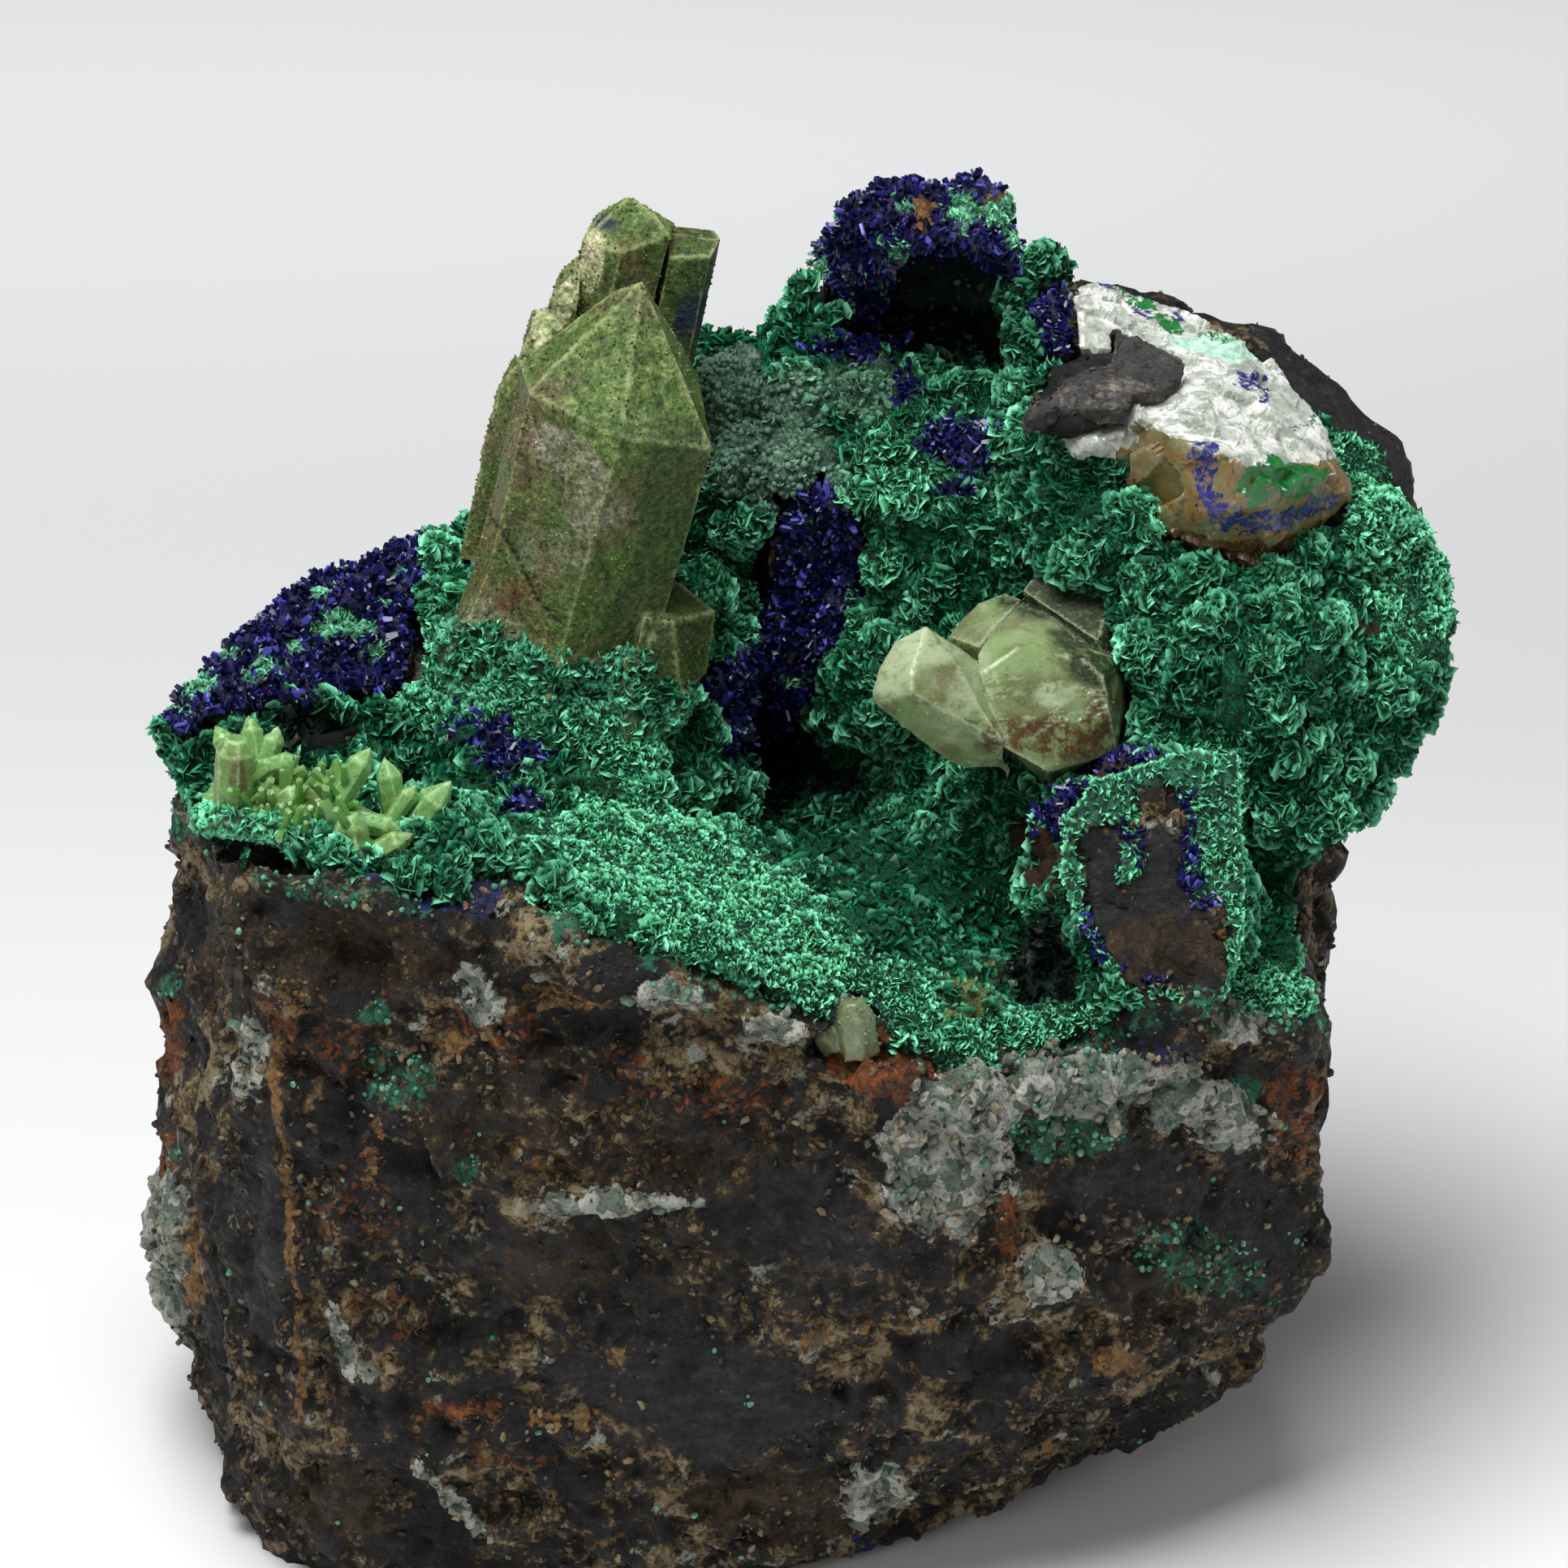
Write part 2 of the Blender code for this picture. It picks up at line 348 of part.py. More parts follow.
# Six-sided prisms: length of a blunt and a pointed end, and width of a blunt end's top, as
# shares of the width.
PRISM_SIDES = 6
BLUNT_END = 0.35
POINTED_END = 0.7
BLUNT_TOP = 0.55
# Small quartz prisms of the left pocket, as foot, tip, width and whether the end is blunt.
SPRAY = [
    ((-24.3, -12.4, 35.6), (-24, -12.3, 39.6), 1.7, True),
    ((-20.8, -13.3, 34.8), (-18.2, -11.3, 38.7), 1.1, False),
    ((-17, -11.6, 35), (-17.6, -11, 38.1), 1.15, False),
    ((-16.6, -12.2, 34.6), (-14.7, -11.6, 37.2), 1.5, False),
    ((-17.6, -12.5, 35.2), (-16.2, -12, 37.2), 0.7, False),
    ((-18.6, -15.1, 33.9), (-19, -14.4, 36.9), 1.5, True),
    ((-19, -12.6, 35.9), (-16.8, -13.4, 35.7), 0.9, False),
    ((-18.3, -14.5, 34.7), (-16.2, -14.4, 36), 1.1, False),
    ((-23.2, -9.8, 35.8), (-23.8, -8, 38.7), 0.9, False),
    ((-23.4, -9.8, 35.8), (-22.5, -8.4, 38.4), 0.9, False),
    ((-23.4, -10.8, 36), (-25.2, -9, 38.7), 0.9, False),
    ((-23.4, -11, 37.4), (-21.6, -11.2, 38), 1.0, True),
    ((-22.6, -12.4, 36.2), (-20.9, -12.1, 37.2), 1.1, False),
]
SPRAY_ROOT = [
    (-25.6, -13.4, 34.6), (-24.6, -14.4, 35.4), (-21.4, -14.8, 35), (-18.6, -15.4, 34.2),
    (-15.8, -14.4, 34), (-15.6, -11.8, 34.4), (-18.4, -11, 34.8), (-22, -9, 36.4),
    (-24.8, -9, 36.6), (-25.6, -11, 36.2), (-22.8, -12, 37.2), (-20.6, -12.6, 36),
    (-24.6, -12, 32.6), (-17, -12.6, 32), (-20, -9.4, 33),
]
RIM_CRYSTAL = [
    ((3.4, -18.4, 27.2), (3.0, -18.2, 29.8), 1.9, True),
    ((2.2, -18.0, 27.4), (1.4, -18.2, 29.0), 1.4, False),
]


def mesh_object(name, bm):
    """An object in the scene holding the bmesh, which is freed."""
    mesh = bpy.data.meshes.new(name)
    bm.to_mesh(mesh)
    bm.free()
    made = bpy.data.objects.new(name, mesh)
    bpy.context.scene.collection.objects.link(made)
    return made


def add_hull(bm, corners):
    """Adds the convex hull of the corners to the bmesh."""
    fresh = [bm.verts.new(corner) for corner in corners]
    made = bmesh.ops.convex_hull(bm, input=fresh)
    loose = [v for v in made["geom_interior"] if isinstance(v, bmesh.types.BMVert)]
    bmesh.ops.delete(bm, geom=loose, context="VERTS")


def hull(name, *chunks):
    """An object of one or more convex chunks, facing out."""
    bm = bmesh.new()
    for corners in chunks:
        add_hull(bm, corners)
    bmesh.ops.recalc_face_normals(bm, faces=bm.faces)
    return mesh_object(name, bm)


def add_ball(bm, centre, radii):
    """Adds an ellipsoid to the bmesh."""
    made = bmesh.ops.create_icosphere(bm, subdivisions=BALL_DETAIL, radius=1.0)
    bmesh.ops.scale(bm, vec=radii, verts=made["verts"])
    bmesh.ops.translate(bm, vec=centre, verts=made["verts"])


def widened(outline, margin):
    """The outline moved outwards by the margin, corner by corner."""
    count = len(outline)
    flat = [Vector(corner) for corner in outline]
    area = sum(flat[i - 1].cross(flat[i]) for i in range(count))
    turn = 1.0 if area > 0 else -1.0
    moved = []
    for i, corner in enumerate(flat):
        before = (corner - flat[i - 1]).normalized()
        after = (flat[(i + 1) % count] - corner).normalized()
        out = Vector((before.y + after.y, -before.x - after.x)).normalized()
        moved.append(tuple(corner + out * margin * turn))
    return moved


def sweep(name, outline, near, far):
    """The outline swept from y = near back to y = far, falling as it goes."""
    bm = bmesh.new()
    rings = []
    for depth in (near, far):
        fall = depth * SWEEP_SLOPE
        rings.append([bm.verts.new((x, depth, height - fall)) for x, height in outline])
    bm.faces.new(rings[0])
    bm.faces.new(rings[1])
    count = len(outline)
    for i in range(count):
        j = (i + 1) % count
        bm.faces.new((rings[0][i], rings[0][j], rings[1][j], rings[1][i]))
    bmesh.ops.recalc_face_normals(bm, faces=bm.faces)
    bmesh.ops.triangulate(bm, faces=bm.faces)
    return mesh_object(name, bm)


def prism_corners(foot, tip, width, blunt):
    """Corners of a six-sided prism from foot to tip, with a short pointed or blunt end."""
    foot, tip = Vector(foot), Vector(tip)
    along = (tip - foot).normalized()
    side = along.orthogonal().normalized()
    radius = 0.5 * width
    shoulder = tip - along * (BLUNT_END if blunt else POINTED_END) * width
    corners = []
    for i in range(PRISM_SIDES):
        out = Matrix.Rotation(math.tau * i / PRISM_SIDES, 3, along) @ side * radius
        corners += [foot + out, shoulder + out]
        if blunt:
            corners.append(tip + out * BLUNT_TOP)
    if not blunt:
        corners.append(tip)
    return corners


def fin_plate(outline):
    """Corners of a plate in the fin's sloping face, from its outline in that face."""
    corners = []
    for x, height in outline:
        y = FIN_FACE_SLOPE * height + FIN_FACE_START
        front = Vector((x, y, height + FIN_FACE_LIFT - y * SWEEP_SLOPE))
        corners += [front, front + FIN_FACE_INWARD * FIN_FACE_DEPTH]
    return corners


def settle(obj):
    """Applies the object's modifiers."""
    graph = bpy.context.evaluated_depsgraph_get()
    mesh = bpy.data.meshes.new_from_object(obj.evaluated_get(graph))
    obj.modifiers.clear()
    obj.data = mesh
    return obj


def remesh(obj, voxel):
    """Fuses whatever the object holds into one skin of even faces."""
    step = obj.modifiers.new("Fuse", "REMESH")
    step.mode = "VOXEL"
    step.voxel_size = voxel
    return settle(obj)


def thin(obj, triangles):
    """Brings the object down to about that many triangles."""
    faces = sum(len(p.vertices) - 2 for p in obj.data.polygons)
    step = obj.modifiers.new("Thin", "DECIMATE")
    step.ratio = min(1.0, triangles / faces)
    step.use_collapse_triangulate = True
    return settle(obj)


def boolean(obj, other, operation):
    """Cuts the object with the other, joins them, or keeps what they share."""
    step = obj.modifiers.new("Cut", "BOOLEAN")
    step.operation = operation
    step.solver = "EXACT"
    step.object = other
    return settle(obj)


def is_closed(bm):
    """Whether every edge of the bmesh lies between two faces."""
    return all(len(edge.link_faces) == 2 for edge in bm.edges)


def simplify(obj):
    """Joins faces that lie in one plane, by the widest angle that leaves the object closed."""
    for angle in FLAT_ANGLES:
        bm = bmesh.new()
        bm.from_mesh(obj.data)
        bmesh.ops.dissolve_degenerate(bm, edges=bm.edges, dist=SLIVER_WIDTH)
        bmesh.ops.dissolve_limit(bm, angle_limit=angle, verts=bm.verts, edges=bm.edges)
        bmesh.ops.triangulate(bm, faces=bm.faces)
        closed = is_closed(bm)
        if closed:
            bm.to_mesh(obj.data)
        bm.free()
        if closed:
            break
    return obj


def copy_of(obj, name):
    """A second object with its own copy of the mesh."""
    made = bpy.data.objects.new(name, obj.data.copy())
    bpy.context.scene.collection.objects.link(made)
    return made


def socket(corners, margin):
    """A hull of the corners whose faces all stand clear of their places by the margin."""
    bm = bmesh.new()
    add_hull(bm, corners)
    bmesh.ops.recalc_face_normals(bm, faces=bm.faces)
    bmesh.ops.dissolve_limit(bm, angle_limit=SOCKET_FLAT_ANGLE, verts=bm.verts, edges=bm.edges)
    bm.normal_update()
    moves = [vert.normal * vert.calc_shell_factor() * margin for vert in bm.verts]
    for vert, move in zip(bm.verts, moves):
        vert.co += move
    bmesh.ops.triangulate(bm, faces=bm.faces)
    return mesh_object("socket", bm)


def fuse(name, chunks):
    """One solid made by joining convex chunks, which keep their flat faces."""
    made = hull(name, chunks[0])
    for corners in chunks[1:]:
        other = hull("chunk", corners)
        boolean(made, other, "UNION")
        drop(other)
    return made


def push(obj, relief):
    """Moves each vertex along its normal by what the relief function says."""
    bm = bmesh.new()
    bm.from_mesh(obj.data)
    bm.normal_update()
    moves = [vert.normal * relief(vert.co) for vert in bm.verts]
    for vert, move in zip(bm.verts, moves):
        vert.co += move
    bm.to_mesh(obj.data)
    bm.free()
    return obj


def keep_largest(obj):
    """Deletes every loose bit of the object apart from the largest."""
    bm = bmesh.new()
    bm.from_mesh(obj.data)
    seen, islands = set(), []
    for start in bm.verts:
        if start in seen:
            continue
        island, queue = [], [start]
        seen.add(start)
        while queue:
            vert = queue.pop()
            island.append(vert)
            for edge in vert.link_edges:
                other = edge.other_vert(vert)
                if other not in seen:
                    seen.add(other)
                    queue.append(other)
        islands.append(island)
    islands.sort(key=len, reverse=True)
    for island in islands[1:]:
        bmesh.ops.delete(bm, geom=island, context="VERTS")
    bm.to_mesh(obj.data)
    bm.free()
    return obj


def drop(*objs):
    """Removes helpers that have done their work."""
    for obj in objs:
        bpy.data.objects.remove(obj)


def shrunk(co, sizes):
    """The place with each coordinate divided by its size."""
    return Vector([value / size for value, size in zip(co, sizes)])


def crag(co):
    """Height of the broken matrix over its chunks, in ledges that follow the bedding."""
    broad = noise.fractal(co / CRAG_BROAD_SIZE, *CRAG_BROAD)
    ledge = noise.noise(shrunk(co, CRAG_LEDGE_SIZE))
    chip = noise.cell(shrunk(co, CRAG_CHIP_SIZE))
    forms = CRAG_BROAD_SHARE * broad + CRAG_LEDGE_SHARE * ledge + CRAG_CHIP_SHARE * chip
    return ROCK_CRAG * forms


def knobs(co):
    """Height of the malachite, in rounded knobs that crowd each other."""
    nearest = noise.voronoi(co / COAT_KNOB_SIZE)[0]
    return COAT_THICKNESS + COAT_KNOB_HEIGHT * (COAT_KNOB_MIDDLE - min(nearest[0], COAT_KNOB_REACH))


def standoff(co):
    """How far the crusts stay off the matrix: more over the sharp edges of the crown."""
    return CROWN_CLEARANCE if co.z > CROWN_FLOOR else CLEARANCE


def matrix_rock():
    """The block of matrix before anything is let into it."""
    bm = bmesh.new()
    for corners in (
        HEART, APRON, LEFT_RIDGE, CENTRE_MOUND, BACK_WALL, CAVE_BACK, CROWN_LIP, CROWN_LEFT,
        CROWN_RIGHT, RIGHT_WALL, RIM_SLOPE, RIGHT_BULGE, FIN,
    ):
        add_hull(bm, corners)
    for x, y, z, radius in LUMPS:
        add_ball(bm, (x, y, z), (radius, radius, radius))
    bmesh.ops.recalc_face_normals(bm, faces=bm.faces)
    rock = mesh_object("matrix_rock", bm)
    remesh(rock, ROCK_VOXEL)
    for centre, radii in HOLLOWS:
        bm = bmesh.new()
        add_ball(bm, centre, radii)
        cutter = mesh_object("hollow", bm)
        boolean(rock, cutter, "DIFFERENCE")
        drop(cutter)
    remesh(rock, ROCK_VOXEL)
    push(rock, crag)
    thin(rock, ROCK_TRIANGLES)
    return rock


def flat_base(obj):
    """Cuts the object off flat at the base level."""
    bm = bmesh.new()
    bm.from_mesh(obj.data)
    everything = bm.verts[:] + bm.edges[:] + bm.faces[:]
    bmesh.ops.bisect_plane(
        bm, geom=everything, plane_co=(0, 0, BASE_LEVEL), plane_no=(0, 0, -1), clear_outer=True
    )
    rim = [edge for edge in bm.edges if edge.is_boundary]
    filled = bmesh.ops.edgeloop_fill(bm, edges=rim)
    bmesh.ops.recalc_face_normals(bm, faces=bm.faces)
    bmesh.ops.triangulate(bm, faces=filled["faces"])
    bm.to_mesh(obj.data)
    bm.free()
    return obj


def region(coat, name, outline, near, far):
    """The stretch of the coat inside the swept outline."""
    crust = copy_of(coat, name)
    reach = sweep("reach", outline, near, far)
    boolean(crust, reach, "INTERSECT")
    drop(reach)
    return crust


def cut_sweep(obj, outline, near, far):
    """Takes the swept outline out of the object."""
    window = sweep("window", outline, near, far)
    boolean(obj, window, "DIFFERENCE")
    drop(window)


def crystal_groups():
    """The chunks of every quartz solid, each solid a group of crystals grown together."""
    fall = QUARTZ_LEAN.normalized() * POINT_LENGTH
    shoulders = [Vector(corner) for corner in POINT_SHOULDERS]
    point = [*shoulders, *POINT_ENDS, *[corner + fall for corner in shoulders]]
    return {
        "quartz_points": [point, STUB, REAR_POINT, REAR_BLOCK, *REAR_STEPS],
        "side_quartz_pair": [SIDE_HEAD, SIDE_PRISM, SIDE_FAR, SIDE_STEP],
        "white_quartz_vein": [KNOB, VEIN, VEIN_END, GREY_GRAIN],
        "small_quartz_spray": [SPRAY_ROOT, *[prism_corners(*spike) for spike in SPRAY]],
        "rim_quartz": [prism_corners(*spike) for spike in RIM_CRYSTAL],
    }


def coat_shells(rock):
    """The outer face of all that grew on the matrix, and the face it stands on."""
    coat = copy_of(rock, "coat")
    remesh(coat, COAT_VOXEL)
    under = copy_of(coat, "under")
    push(coat, knobs)
    bm = bmesh.new()
    bm.from_mesh(coat.data)
    for corners in BLUE_MASSES:
        add_hull(bm, corners)
    bm.to_mesh(coat.data)
    bm.free()
    remesh(coat, COAT_VOXEL)
    thin(coat, COAT_TRIANGLES)
    push(under, standoff)
    remesh(under, COAT_VOXEL)
    thin(under, UNDER_TRIANGLES)
    return coat, under


def crusts_on(coat, under):
    """The malachite crust and the azurite crusts let into it, malachite first."""
    lining = region(coat, "malachite_crust", LINING_OUTLINE, *LINING_REACH)
    cut_sweep(lining, VEIN_WINDOW, *VEIN_WINDOW_REACH)
    crusts = [lining]
    for name, outline, (near, far) in (
        ("azurite_left_rim", LEFT_AZURITE_OUTLINE, LEFT_AZURITE_REACH),
        ("azurite_crown", CROWN_AZURITE_OUTLINE, CROWN_AZURITE_REACH),
        ("azurite_tuft", TUFT_AZURITE_OUTLINE, TUFT_AZURITE_REACH),
        ("azurite_band", BAND_AZURITE_OUTLINE, BAND_AZURITE_REACH),
    ):
        crusts.append(region(coat, name, outline, near, far))
        cut_sweep(lining, widened(outline, CRUST_GAP), near - CRUST_GAP, far + CRUST_GAP)
    for crust in crusts:
        boolean(crust, under, "DIFFERENCE")
    for corners in BEHIND:
        space = hull("behind", corners)
        for crust in crusts:
            boolean(crust, space, "DIFFERENCE")
        drop(space)
    return crusts


def bare_plates(rock, lining):
    """Raises the slab and the fin's face out of the matrix, clear of the malachite."""
    faces = [fin_plate(outline) for outline in (FIN_BODY, FIN_LEFT_POST, FIN_RIGHT_POST)]
    for corners in (SLAB, *faces):
        room = socket(corners, CRYSTAL_CLEARANCE)
        boolean(lining, room, "DIFFERENCE")
        plate = hull("plate", corners)
        boolean(rock, plate, "UNION")
        drop(room, plate)


def finish(obj, offset):
    """Gives the object its material and moves it into the part's frame, in metres."""
    colour, roughness = FINISHES[obj.name]
    material = bpy.data.materials.new(obj.name)
    material.use_nodes = True
    shader = material.node_tree.nodes["Principled BSDF"]
    shader.inputs["Base Color"].default_value = (*colour, 1.0)
    shader.inputs["Roughness"].default_value = roughness
    obj.data.materials.clear()
    obj.data.materials.append(material)
    obj.data.transform(Matrix.Scale(MM, 4) @ Matrix.Translation(offset))


def main():
    for obj in list(bpy.data.objects):
        bpy.data.objects.remove(obj)
    rock = matrix_rock()
    coat, under = coat_shells(rock)
    flat_base(rock)
    crusts = crusts_on(coat, under)
    drop(coat, under)
    bare_plates(rock, crusts[0])
    for name, chunks in crystal_groups().items():
        for corners in chunks:
            room = socket(corners, CRYSTAL_CLEARANCE)
            for solid in (rock, *crusts):
                boolean(solid, room, "DIFFERENCE")
            drop(room)
        fuse(name, chunks)
    for solid in (rock, *crusts):
        keep_largest(solid)
        simplify(solid)
    corners = [vert.co for obj in bpy.data.objects for vert in obj.data.vertices]
    low = [min(co[axis] for co in corners) for axis in range(3)]
    high = [max(co[axis] for co in corners) for axis in range(3)]
    offset = Vector((-(low[0] + high[0]) / 2, -(low[1] + high[1]) / 2, -low[2]))
    for obj in bpy.data.objects:
        finish(obj, offset)


main()
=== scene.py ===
"""Azurite and malachite specimen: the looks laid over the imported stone.

A place on the stone is given as a point of the front view, in picture points, and found on the
surface by a line of sight. What lies there is baked into the mesh, so it stays on the stone from
every side. Lengths are in millimetres up to the point where a mesh is written.
"""

import json
import logging
import math
from collections.abc import Iterator
from contextlib import contextmanager
from dataclasses import dataclass, field
from enum import Enum

import bmesh
import bpy
import numpy as np
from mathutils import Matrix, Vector, noise
from mathutils.bvhtree import BVHTree

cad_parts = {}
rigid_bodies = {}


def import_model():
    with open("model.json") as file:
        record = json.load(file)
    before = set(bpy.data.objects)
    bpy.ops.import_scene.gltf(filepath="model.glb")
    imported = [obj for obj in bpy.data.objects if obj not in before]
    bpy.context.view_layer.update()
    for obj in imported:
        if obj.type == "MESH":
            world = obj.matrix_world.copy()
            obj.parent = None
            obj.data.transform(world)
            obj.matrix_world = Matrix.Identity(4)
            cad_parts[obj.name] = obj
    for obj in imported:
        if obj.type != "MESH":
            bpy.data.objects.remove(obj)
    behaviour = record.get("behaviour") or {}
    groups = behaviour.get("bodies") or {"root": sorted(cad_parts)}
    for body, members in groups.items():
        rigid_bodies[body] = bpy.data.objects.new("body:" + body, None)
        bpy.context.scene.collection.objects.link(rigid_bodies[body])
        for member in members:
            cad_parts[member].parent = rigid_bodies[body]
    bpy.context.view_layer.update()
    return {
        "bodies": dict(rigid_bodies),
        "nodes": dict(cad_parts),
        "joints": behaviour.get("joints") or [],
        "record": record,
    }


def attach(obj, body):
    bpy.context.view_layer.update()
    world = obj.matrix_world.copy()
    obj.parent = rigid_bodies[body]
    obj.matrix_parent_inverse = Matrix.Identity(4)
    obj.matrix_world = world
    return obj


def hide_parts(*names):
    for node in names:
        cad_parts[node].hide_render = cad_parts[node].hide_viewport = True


Piece = bpy.types.Object
Material = bpy.types.Material
Socket = bpy.types.NodeSocket
Chance = np.random.Generator
Rows = np.ndarray

LOG = logging.getLogger("specimen")
MM = 0.001
BODY = "root"
# How many times the long edges of a crisp piece are halved.
HALVINGS = 6
# The angle between two faces, in radians, from which their edge is sharp.
SHARP = 0.45
# How strongly quartz bends light.
QUARTZ_IOR = 1.54
ROCK_SLOT = "matrix_rock"
GREEN_SLOT = "malachite"
BLUE_SLOT = "azurite"
# The green between blades at the feet of crystals.
FOOT_GREEN = (0.003, 0.04, 0.018)
# Smallest length that is divided by.
TINY = 1e-9
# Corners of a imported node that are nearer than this, in millimetres, are one.
WELD = 0.002


# Front view


@dataclass(frozen=True)
class FrontView:
    """The eye of the front view, and how its picture points meet the stone."""

    target: tuple = (-0.51, -0.57, 33.2)
    elevation: float = 25.0
    distance: float = 280.0
    step: float = 0.0375
    centre: float = 966.0
    sensor: float = 36.0

    def axes(self) -> tuple:
        """Return the unit vectors right, up and forward."""
        tilt = math.radians(self.elevation)
        right = np.array((1.0, 0.0, 0.0))
        up = np.array((0.0, math.sin(tilt), math.cos(tilt)))
        forward = np.array((0.0, math.cos(tilt), -math.sin(tilt)))
        return right, up, forward

    def eye(self) -> Rows:
        """Return the place of the eye."""
        return np.array(self.target) - self.axes()[2] * self.distance

    def picture(self, points: Rows) -> Rows:
        """Turn places into picture points.

        Args:
            points: places, one a row.

        Returns:
            Picture points, x to the right and y down, one a row.
        """
        right, up, forward = self.axes()
        away = points - self.eye()
        depth = away @ forward
        span = self.distance / self.step
        across = self.centre + away @ right / depth * span
        down = self.centre - away @ up / depth * span
        return np.stack((across, down), axis=1)

    def sight(self, x: float, y: float) -> Vector:
        """Return the unit direction from the eye through a picture point."""
        right, up, forward = self.axes()
        across = (x - self.centre) * self.step
        rise = (self.centre - y) * self.step
        return Vector(forward * self.distance + right * across + up * rise).normalized()

    def add_camera(self) -> Piece:
        """Add the camera that takes the front view, and return it."""
        data = bpy.data.cameras.new("front_camera")
        data.sensor_width = self.sensor
        data.sensor_fit = "HORIZONTAL"
        data.lens = self.sensor / 2 * self.distance / (self.centre * self.step)
        data.clip_start = 0.01
        data.clip_end = 20.0
        camera = add_object("front_camera", data)
        camera.location = Vector(self.eye()) * MM
        camera.rotation_mode = "QUATERNION"
        camera.rotation_quaternion = Vector(self.axes()[2]).to_track_quat("-Z", "Y")
        bpy.context.scene.camera = camera
        return camera


VIEW = FrontView()

# Where the green crust ends on the front of the rock, in picture points from left to right.
RIM = (
    (179, 918), (205, 954), (224, 1001), (242, 1013), (293, 1013), (334, 1020), (392, 1046), (416, 1069),
    (461, 1059), (507, 1087), (545, 1095), (598, 1062), (644, 1067), (661, 1090), (682, 1133), (725, 1149),
    (767, 1133), (796, 1159), (838, 1166), (881, 1194), (949, 1207), (980, 1218), (1000, 1232), (1056, 1234),
    (1098, 1248), (1154, 1278), (1207, 1300), (1286, 1288), (1312, 1270), (1383, 1255), (1414, 1240),
    (1466, 1230), (1519, 1224), (1561, 1245), (1638, 1235),
)


# Patches of the surface


@dataclass(frozen=True)
class Patch:
    """An oval on the surface, as the front view shows it: middle, half sizes, clockwise turn and strength."""

    x: float
    y: float
    along: float
    across: float
    turn: float = 0.0
    strength: float = 1.0


def patches(*rows: tuple) -> tuple:
    """Return a patch for each row of its middle, half sizes, turn and strength."""
    return tuple(Patch(*row) for row in rows)


@dataclass(frozen=True)
class Zone:
    """A place on the surface inside an outline of picture points."""

    outline: tuple
    strength: float = 1.0


def below_rim(points: Rows, wander: float) -> Rows:
    """Return how far below the rim each point shows in the front view, in picture points.

    Args:
        points: places in millimetres.
        wander: how far the rim strays, in picture points.

    Returns:
        One distance for each point, negative above the rim.
    """
    seen = VIEW.picture(points)
    line = np.array(RIM, float)
    return seen[:, 1] - np.interp(seen[:, 0], line[:, 0], line[:, 1]) + wave(points, 1.1, 3, 6.0) * wander


def far_from_line(seen: Rows, start: tuple, end: tuple) -> Rows:
    """Return how far picture points lie from a line.

    Args:
        seen: picture points, one a row.
        start: the picture point that the line starts at.
        end: the picture point that it ends at.

    Returns:
        One distance for each point.
    """
    run = np.array((end[0] - start[0], end[1] - start[1]), float)
    off = seen - start
    part = np.clip(off @ run / (run @ run), 0, 1)
    return np.linalg.norm(off - part[:, None] * run, axis=1)


def inside_outline(seen: Rows, outline: tuple) -> Rows:
    """Return which picture points lie inside an outline."""
    inside = np.zeros(len(seen), bool)
    x, y = seen[:, 0], seen[:, 1]
    for (ax, ay), (bx, by) in zip(outline, (*outline[1:], outline[0])):
        if ay == by:
            continue
        crosses = ((ay > y) != (by > y)) & (x < (bx - ax) * (y - ay) / (by - ay) + ax)
        inside ^= crosses
    return inside


